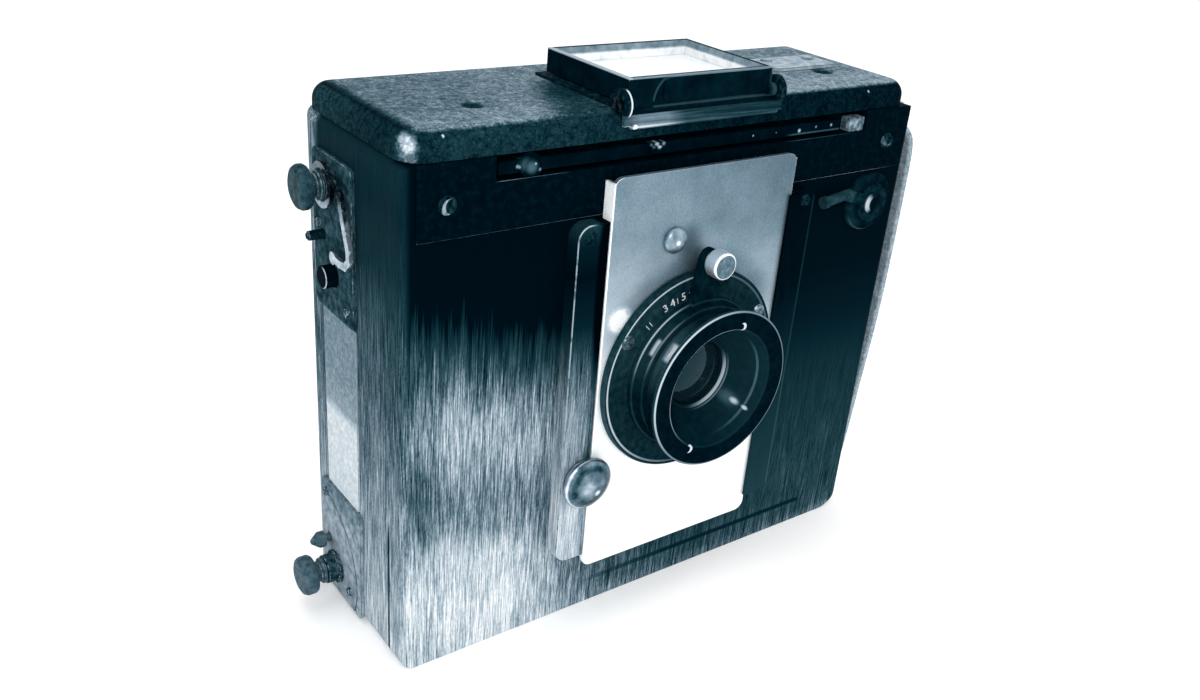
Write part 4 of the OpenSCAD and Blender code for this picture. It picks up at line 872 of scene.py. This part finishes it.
        # Painted highlights on the rim's outer and inner edges, its throat and its spanner notches, brightest
        # at the upper left; painted reflection spots; the funnel painted paler and darker by direction
        def rim_tone(where, x, y, z):
            outer = ring_share(x, z, 23, 0.35) * (0.55 + towards(x, z, 150, 80) * 0.38)
            inner = ring_share(x, z, 17.75, 0.32) * (0.06 + towards(x, z, 150, 95) * 0.8)
            deep = ring_share(x, z, 15.8, 0.3) * towards(x, z, -15, 75) * 0.3
            away = reach(x, z)
            edge = strip(y, -37.2, 0.4, 0.15) * 0.5 + strip(y, -36.3, 0.4, 0.15) * 0.95
            throat = edge * ramp(away, 11.3, 10.9) * towards(x, z, -35, 75)
            notches = 0.0
            for angle in (75, -119):
                cx = LENS_X + 18.7 * math.cos(math.radians(angle))
                cz = LENS_Z + 18.7 * math.sin(math.radians(angle))
                crescent = spot(x, z, cx, cz, 1.3, 0.85) - spot(x, z, cx - 0.7, cz, 1.1, 0.85)
                notches = notches + most(crescent, 0)
            gleam = most(spot(x, z, 12.3, 66.9, 1.5, 0.15), spot(x, z, 11.3, 67.5, 3.2, 0.1) * 0.3,
                         spot(x, z, 14, 65.6, 0.9, 0.3))
            funnel = 0.1 + towards(x, z, 10, 120) * 0.04 + towards(x, z, 160, 80) * -0.05
            base = mix(ramp(away, 17.4, 18), funnel, 0.06) + stir(where, 0.4, 0.08)
            return mix(most(outer, inner, deep, throat, notches, gleam * 0.9), base, 0.9)
        paint(surface("enamel on front rim", rim_tone, 0.25), "front_ring")

        # Deep teal that lets the dark inside show, with a faint coloured shine
        for node in ("front_glass", "rear_glass"):
            paint(two_toned("coated optical glass of " + node, "#071A22", "#1B3842", 0.05, 1.0, {
                "Roughness": 0.04, "Specular IOR Level": 0.05, "Specular Tint": linear(SHEEN), "IOR": 1.62,
                "Transmission Weight": 0.6}, detail=2), node)
        # Black with a thin sheen on each blade
        paint(surface("blackened iris steel", plain(0.12, 0.1, 0.4), 0.4, 0.5), "iris_blades")
        self.scale(context)
        return {"FINISHED"}

    def scale(self, context):
        """Plain numbers and strokes of the focusing scale, on the flange's face round the focusing ring"""
        s = context.scene.lens_settings
        # Off-white lines that stay matt
        white = surface("white filled engraving", plain(0.9, 0.25, 1.5), 0.5)
        bm = bmesh.new()
        for angle, text in ((99, "|"), (104, "5"), (109, "|"), (113, "4"), (119, "3"), (133, "|"), (136, "|")):
            curve = bpy.data.curves.new("mark", "FONT")
            curve.body = text
            curve.size = s.mark_height * (1.15 if text == "|" else 1.55) / MM
            curve.align_x = "CENTER"
            curve.extrude = 0.02
            curve.offset = 0.02
            curve.resolution_u = 3
            holder = bpy.data.objects.new("mark", curve)
            mesh = bpy.data.meshes.new_from_object(holder)
            start = len(bm.verts)
            bm.from_mesh(mesh)
            bm.verts.ensure_lookup_table()
            glyph = list(bm.verts)[start:]
            for axis, turn, step in (("X", 90, (0, FLANGE_LOW.y + 0.28, FOCUS_R + 0.75)),
                                     ("Y", 90 - angle, (LENS_X, 0, LENS_Z))):
                bmesh.ops.rotate(bm, verts=glyph, cent=(0, 0, 0), matrix=Matrix.Rotation(
                    math.radians(turn), 3, axis))
                bmesh.ops.translate(bm, verts=glyph, vec=step)
            bmesh.ops.scale(bm, verts=glyph, vec=(MM, MM, MM))
            bpy.data.objects.remove(holder)
            bpy.data.curves.remove(curve)
            bpy.data.meshes.remove(mesh)
        finish(bm, "focusing_scale_marks", [white], CAD["lens_flange"]["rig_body"])


class CAMERA_OT_lid(bpy.types.Operator):
    """Leather-covered lid with rounded edges, hollow below, with two dents in its top"""
    bl_idname = "platecamera.lid"
    bl_label = "Lid"

    def execute(self, context):
        s = context.scene.lid_settings
        dents, dent_radius = ((-57.0, -8.5), (63.5, -8.0)), 5.0 * MM  # each as x and y in millimetres
        wall, hollow = 0.0034, 0.0035  # thickness of the walls, depth of the hollow below
        low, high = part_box("lid")
        left_end = low.x / MM + 1.5

        # Painted light on the top: the finder's painted shadow to its left, painted shade on the roll at the
        # left end, paler towards the front; darker in the two dents
        def top_tone(x, y, z):
            shadow = ramp(x + y * -0.45, -38, -26) * ramp(x, 27, 25.5) * ramp(y, 8, 2)
            left = ramp(x, left_end, left_end + 5)
            level = (s.leather + ramp(y, -8, -16, 0.02, 0.09) + ramp(x, -62, -30, -0.03, 0.03)) * left
            for cx, cy in dents:
                level = level - spot(x, y, cx, cy, 3.4, 0.4) * 0.28
            return level - shadow * 0.36

        # The lid's sides painted dark as shaded, darkest on the right, with a painted highlight down the front
        # left corner and two bright specks on the front edge
        def side_tone(x, y, z):
            front = profile(x, ((-85, 0.13), (-70, 0.18), (-40, 0.17), (0, 0.09), (85, 0.07)))
            gleam = (strip(x, -82.3, 2.3, 0.3) * ramp(y, -20.5, -23)
                     * profile(z, ((143, 0.35), (144.6, 0.5), (146, 1), (148.2, 0.9), (150, 0))))
            end = profile(y, ((-20, 0.13), (0, 0.15), (22, 0.22), (27, 0.1)))
            turned = ramp(y, -20.5, -23.5)
            specks = spot(x, z, 63.9, 148.2, 0.55) + spot(x, z, -74.4, 148.6, 0.5)
            return mix(turned, end, front) + gleam * 0.72 + specks * ramp(y, -25, -26) * 0.7
        # Slate grey pebbles with dark valleys, nearly black round the edge as painted shade, with painted
        # highlights on its front
        made = surface("morocco leather on lid", leather(top_tone, side_tone), 0.3, relief=0.1)
        bm = block(low, high)
        floor = [f for f in bm.faces if f.normal.z < -0.9]
        inset = bmesh.ops.inset_region(bm, faces=floor, thickness=wall)["faces"]
        floor = [f for f in bm.faces if f.normal.z < -0.9 and f not in inset]
        bmesh.ops.translate(bm, verts=floor[0].verts, vec=(0, 0, hollow))
        outer = [e for e in vertical(bm.edges)
                 if min(abs(e.verts[0].co.x - low.x), abs(e.verts[0].co.x - high.x)) < 1e-5]
        for back, radius in ((False, s.front_corner), (True, s.back_corner)):
            corners = [e for e in outer if e.is_valid and (e.verts[0].co.y > 0) == back]
            bmesh.ops.bevel(bm, geom=corners, offset=radius, affect="EDGES", segments=12, profile=0.5,
                            material=-1)
        rim = [e for e in bm.edges if all(abs(v.co.z - high.z) < 1e-6 for v in e.verts)]
        bmesh.ops.bevel(bm, geom=rim, offset=s.edge_round, affect="EDGES", segments=8, profile=0.5, material=-1)
        for cx, cy in dents:
            centre = Vector((cx * MM, cy * MM, high.z))
            for axis, normal in enumerate(((1, 0, 0), (0, 1, 0))):
                for k in range(-6, 7):
                    at = centre.copy()
                    at[axis] += k * 0.9 * MM
                    top = [f for f in bm.faces if f.normal.z > 0.9999]
                    geom = list({e for f in top for e in f.edges} | {v for f in top for v in f.verts}) + top
                    bmesh.ops.bisect_plane(bm, geom=geom, plane_co=at, plane_no=normal, dist=1e-7)
            for v in bm.verts:
                if abs(v.co.z - high.z) < 1e-6:
                    far = (v.co.xy - centre.xy).length / dent_radius
                    if far < 1:
                        v.co.z -= s.dent_depth * (1 - far * far) ** 2
        piece = finish(bm, "leather_lid", [made], "lid", 40)
        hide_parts("lid")
        return {"FINISHED"}


class CAMERA_OT_finder(bpy.types.Operator):
    """Finder's enamel, pale inside walls, worn edges with painted highlights, and milk glass"""
    bl_idname = "platecamera.finder"
    bl_label = "Finder"

    def execute(self, context):
        width = context.scene.metal_settings.edge_width
        low, high = span("finder_frame")
        glass_low, glass_high = span("finder_glass")

        def wall_tone(where, x, y, z):
            within = (ramp(x, glass_low.x - 0.55, glass_low.x - 0.3)
                      * ramp(x, glass_high.x + 0.55, glass_high.x + 0.3)
                      * ramp(y, glass_low.y - 0.55, glass_low.y - 0.3)
                      * ramp(y, glass_high.y + 0.55, glass_high.y + 0.3))
            pale = (ramp(z, high.z - 1.4, high.z - 2.2, 0.55, 1) + stir(where, 0.4, 0.5)
                    + ramp(x, glass_low.x + 1, glass_low.x) * 0.2)
            arc = ring_share(x, z, 7.2, 0.5, -7.6, 151)
            curve = arc * ramp(x, -7.6, -9) * ramp(z, 151, 151.8) * 0.16
            foot = (ramp(z, profile(x, ((-15, 150.5), (14, 151.1), (26, 150.6))), 150.1) * ramp(x, -15.2, -14.4)
                    * ramp(x, 25.8, 24.5) * 0.18)
            end = ramp(x, 23.6, 25.2) * 0.2
            front = ramp(y, glass_low.y - 0.7, glass_low.y - 1.1) * most(curve, foot, end)
            # Painted highlights along the frame's top edge at its left and front
            crown = (ramp(z, high.z - 0.4, high.z - 0.15) * most(ramp(x, low.x + 3, low.x + 2, 0, 0.65),
                                                                 ramp(y, low.y + 3.4, low.y + 2.4, 0, 0.5)))
            front = most(front, crown)
            dark = 0.07 + stir(where, 0.2, 0.12) + front
            return mix(within, dark, pale)

        # Painted highlights on the upper edges, brightest at the left and front, and on the flap's edge
        def rim_tone(where, x, y, z):
            top = ramp(z, high.z - 0.9, high.z - 0.4)
            left = ramp(x, low.x + 3, low.x + 1.2)
            front = ramp(y, low.y + 3, low.y + 1.2)
            flap = ramp(y, low.y + 1, low.y + 0.6) * ramp(z, high.z - 2.2, high.z - 3.4)
            bare = most(top * (0.2 + left * 0.7 + front * 0.55), flap * 0.4)
            return 0.1 + bare * 0.75 + stir(where, 0.4, 0.25)
        # Black outside with bright upper edges, partly bare and partly painted highlights, pale matt walls
        # inside
        rounded("finder_frame", "folding_finder_frame", surface("enamel on finder frame", wall_tone, 0.3),
                surface("rubbed and lit edges of finder", rim_tone, 0.3), width * 1.2)

        # Painted highlights: a thin crescent on the left ear's rim and brighter edges along the lip, most
        # towards the left
        def base_tone(where, x, y, z):
            lip = ramp(z, 149.6, 148.9) * ramp(y, -27, -27.3)
            pale = lip * profile(x, ((-26, 0.2), (-21, 0.42), (-12, 0.42), (-6, 0.16), (28, 0.1)))
            bead = spot(x, z, -22.6, 146.3, 0.9, 0.5) * 0.9
            rod = strip(z, 146.4, 0.35, 0.15) * ramp(x, -4, -22, 0.08, 0.4)
            face = ramp(z, 149.6, 150.2) * stir(where, 0.7, 0.9)
            crescent = (ramp(reach(y, z, -25.4, 151.5), 3.4, 3.7) * ramp(y, -25.8, -27)
                        * ramp(z, 148.6, 149.6) * ramp(x, -24.85, -24.6) * ramp(x, -20, -22) * 0.85)
            face = most(face, crescent)
            shade = lip * stir(where, (0.05, 1.5, 1.5), 0.5)
            return 0.08 + pale + shade + face + most(bead, rod * lip) + stir(where, 0.5, 0.1)

        def base_edge(where, x, y, z):
            ear = ramp(z, 148, 149.5) * ramp(x, -24.9, -24.6) * ramp(x, -20, -22)
            lip = ramp(z, 149.4, 148.6) * ramp(x, 12, -18, 0.04, 0.2)
            return 0.12 + most(ear, lip) * 0.85 + stir(where, 0.3, 0.5)
        rounded("finder_base", "finder_base_and_ears", surface("enamel on finder base", base_tone, 0.3),
                surface("rubbed and lit edges of base", base_edge, 0.3), width)
        # Steel grey with dark patches
        paint(surface("finder pivot pins", plain(0.3, 0.6, 0.8), 0.2, 1), "finder_pins")
        # Milky white all over
        paint(surface("flashed opal glass", plain(1, 0.02, 0.1), 0.3, 1), "finder_glass")
        return {"FINISHED"}


class CAMERA_OT_inside(bpy.types.Operator):
    """Light chamber, gate, rollers, pawls and the rubbered blind with its slit"""
    bl_idname = "platecamera.inside"
    bl_label = "Shutter"

    def execute(self, context):
        # Black that swallows the light
        paint(surface("matt black inside paint", plain(0.08, 0.05), 0.75), "light_chamber", "gate_frame")
        # Warm light brown with grain along the roller
        paint(two_toned("oiled beech roller", "#7A5A38", "#A98458", (0.04, 0.9, 0.9), 1.6, {"Roughness": 0.5}),
              "upper_roller", "lower_roller")
        # Light grey with clear reflections
        paint(surface("spring steel pawl", plain(0.72, 0.2), 0.25, 1), "wind_pawl", "tension_pawl")

        def weave(where, x, y, z):
            warp, weft = (
                worked("ShaderNodeTexWave", {"bands_direction": axis}, {"Vector": where, "Scale": 0.9}, "Fac")
                for axis in "XZ")
            cross = warp * weft
            return 0.1 + cross * 0.06, cross
        # Flat black with a fine crosswise weave
        cloth = surface("rubbered silk blind", weave, 0.55, relief=0.05)
        low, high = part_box("shutter_curtain")
        gate_low, gate_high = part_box("light_chamber")
        mid = (gate_low + gate_high) / 2
        bm = block(low, high)
        half_slit, half_width = 0.005, 0.055
        slit = (mid.z - half_slit, mid.z + half_slit)
        sides = (mid.x - half_width, mid.x + half_width)
        cuts = [((0, 0, at), (0, 0, 1)) for at in slit] + [((at, 0, 0), (1, 0, 0)) for at in sides]
        for at, normal in cuts:
            geom = list(bm.verts) + list(bm.edges) + list(bm.faces)
            bmesh.ops.bisect_plane(bm, geom=geom, plane_co=at, plane_no=normal, dist=1e-8)
        hole = [f for f in bm.faces if abs(f.normal.y) > 0.9 and slit[0] < f.calc_center_median().z < slit[1]
                and sides[0] < f.calc_center_median().x < sides[1]]
        bmesh.ops.bridge_loops(bm, edges=list({e for f in hole for e in f.edges}))
        bmesh.ops.delete(bm, geom=hole, context="FACES")
        blind = finish(bm, "rubbered_blind", [cloth], "case")
        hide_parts("shutter_curtain")
        return {"FINISHED"}


class CAMERA_OT_back(bpy.types.Operator):
    """Polished wood of the focusing frame and its ground glass"""
    bl_idname = "platecamera.back"
    bl_label = "Focusing back"

    def execute(self, context):
        # Red-brown with long grain and dark pores under a clear shine
        made, tree, shader = blank("french polished mahogany")
        where = place(tree)[0]
        grain = stir(where, (0.016, 0.7, 0.42), 2.4, 6)
        pores = stir(where, (0.12, 2.6, 2.6), 1, 2)
        colour = blend(grain + 0.5, linear("#3A2015"), linear("#6B4028"))
        colour = blend(ramp(pores, 0.12, 0.25, 0.0, 0.6), colour, linear("#1E100A"))
        colour.to(shader.inputs["Base Color"])
        shader.inputs["Roughness"].default_value = 0.3
        shader.inputs["Coat Weight"].default_value = 0.3
        relief = worked("ShaderNodeBump", None, {"Height": pores, "Distance": 0.00003, "Strength": 0.3})
        relief.to(shader.inputs["Normal"])
        paint(made, "focusing_frame")
        # Pale grey that lets a blurred light through
        paint(two_toned("fine ground glass", "#C9D3D6", "#DDE5E7", 3.0, 1.4,
                        {"Roughness": 0.55, "Transmission Weight": 0.35}, detail=3), "ground_glass")
        return {"FINISHED"}


class CAMERA_OT_strap(bpy.types.Operator):
    """Hand strap: a bowed band of leather with two rows of stitches"""
    bl_idname = "platecamera.strap"
    bl_label = "Hand strap"

    def execute(self, context):
        s = context.scene.strap_settings
        low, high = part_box("hand_strap")
        inner = {}
        for v in CAD["hand_strap"].data.vertices:
            key = round(v.co.z, 6)
            inner[key] = min(inner.get(key, 9), v.co.x)
        outline = [(inner[z], z) for z in sorted(inner)]
        bulge = max(x for x, z in outline) - low.x
        thick, tail = 0.002, 0.002  # thickness of the leather, and how far it runs on at its top end
        margin, inset = 0.006, 0.0022  # first and last stitch from the ends, rows from the long edges

        def inner_at(z):
            """Inner face of the CAD strap at a height."""
            for (xa, za), (xb, zb) in zip(outline, outline[1:]):
                if za <= z <= zb:
                    return xa + (xb - xa) * (z - za) / max(zb - za, 1e-9)
            return outline[-1][0]

        def bow_at(z):
            """Inner face of this strap at a height: fuller than the CAD strap's, most in its upper third."""
            off = sum(inner_at(min(max(z + d * MM, low.z), high.z)) for d in (-1.5, 0, 1.5)) / 3 - low.x
            upper = min(max((z / MM - 95) / 23, 0), 1)
            return low.x + bulge * max(off / bulge, 0) ** (0.8 - 0.5 * upper)

        def strap_tone(x, y, z):
            return s.leather + ramp(z, 20, 135, 0.04, -0.02)
        # Pale grey with fine pebbles, stitched in darker thread
        made = surface("worn harness leather", leather(strap_tone, None, 0.14, 1.6), 0.5, relief=0.08)
        thread = surface("waxed linen thread", plain(0.5, 0.25, 1.5), 0.6)
        bm = bmesh.new()
        bmesh.ops.create_grid(bm, x_segments=6, y_segments=90, size=0.5)
        for v in bm.verts:
            z = low.z + (high.z + tail - low.z) * (v.co.y + 0.5)
            v.co = Vector((bow_at(z) + thick, low.y + (high.y - low.y) * (v.co.x + 0.5), z))
        bmesh.ops.recalc_face_normals(bm, faces=bm.faces)
        if bm.faces[:][0].normal.x < 0:
            bmesh.ops.reverse_faces(bm, faces=bm.faces)
        bmesh.ops.solidify(bm, geom=bm.faces, thickness=thick)
        piece = finish(bm, "leather_hand_strap", [made], "case", 50)
        bevel = piece.modifiers.new("worn edge", "BEVEL")
        bevel.width = 0.0005
        bevel.segments = 2
        bevel.limit_method = "ANGLE"
        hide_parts("hand_strap")

        bm = bmesh.new()
        count = int((high.z + tail - low.z - 2 * margin) / s.stitch_pitch)
        for y in (low.y + inset, high.y - inset):
            for k in range(count):
                z = low.z + margin + k * s.stitch_pitch
                lean = math.atan2(bow_at(z + 0.001) - bow_at(z - 0.001), 0.002)
                made = bmesh.ops.create_uvsphere(bm, u_segments=6, v_segments=5, radius=1)["verts"]
                bmesh.ops.scale(bm, verts=made, vec=(0.00025, 0.00032, s.stitch_pitch * 0.36))
                bmesh.ops.rotate(bm, verts=made, cent=(0, 0, 0), matrix=Matrix.Rotation(lean, 3, "Y"))
                bmesh.ops.translate(bm, verts=made, vec=(bow_at(z) + thick + 0.00002, y, z))
        finish(bm, "strap_stitches", [thread], "case", 80)
        return {"FINISHED"}


class CAMERA_PT_panel(bpy.types.Panel):
    """Lists the build steps of the plate camera"""
    bl_idname = "CAMERA_PT_panel"
    bl_label = "Plate Camera"
    bl_space_type = "VIEW_3D"
    bl_region_type = "UI"
    bl_category = "Plate Camera"

    def draw(self, context):
        for step in STEPS:
            self.layout.operator(step.bl_idname)


SETTINGS = {"case_settings": CaseSettings, "metal_settings": MetalSettings, "lid_settings": LidSettings,
            "strap_settings": StrapSettings, "lens_settings": LensSettings, "stage_settings": StageSettings}
STEPS = (CAMERA_OT_stage, CAMERA_OT_case, CAMERA_OT_latch, CAMERA_OT_lens, CAMERA_OT_lid, CAMERA_OT_finder,
         CAMERA_OT_inside, CAMERA_OT_back, CAMERA_OT_strap)


def register():
    for group in (*SETTINGS.values(), *STEPS, CAMERA_PT_panel):
        bpy.utils.register_class(group)
    for name, group in SETTINGS.items():
        setattr(bpy.types.Scene, name, bpy.props.PointerProperty(type=group))


def unregister():
    for name in SETTINGS:
        delattr(bpy.types.Scene, name)
    for group in (CAMERA_PT_panel, *reversed(STEPS), *reversed(list(SETTINGS.values()))):
        bpy.utils.unregister_class(group)


def main():
    register()
    for step in STEPS:
        group, name = step.bl_idname.split(".")
        getattr(getattr(bpy.ops, group), name)()
    bpy.context.view_layer.update()


if __name__ == "__main__":
    main()
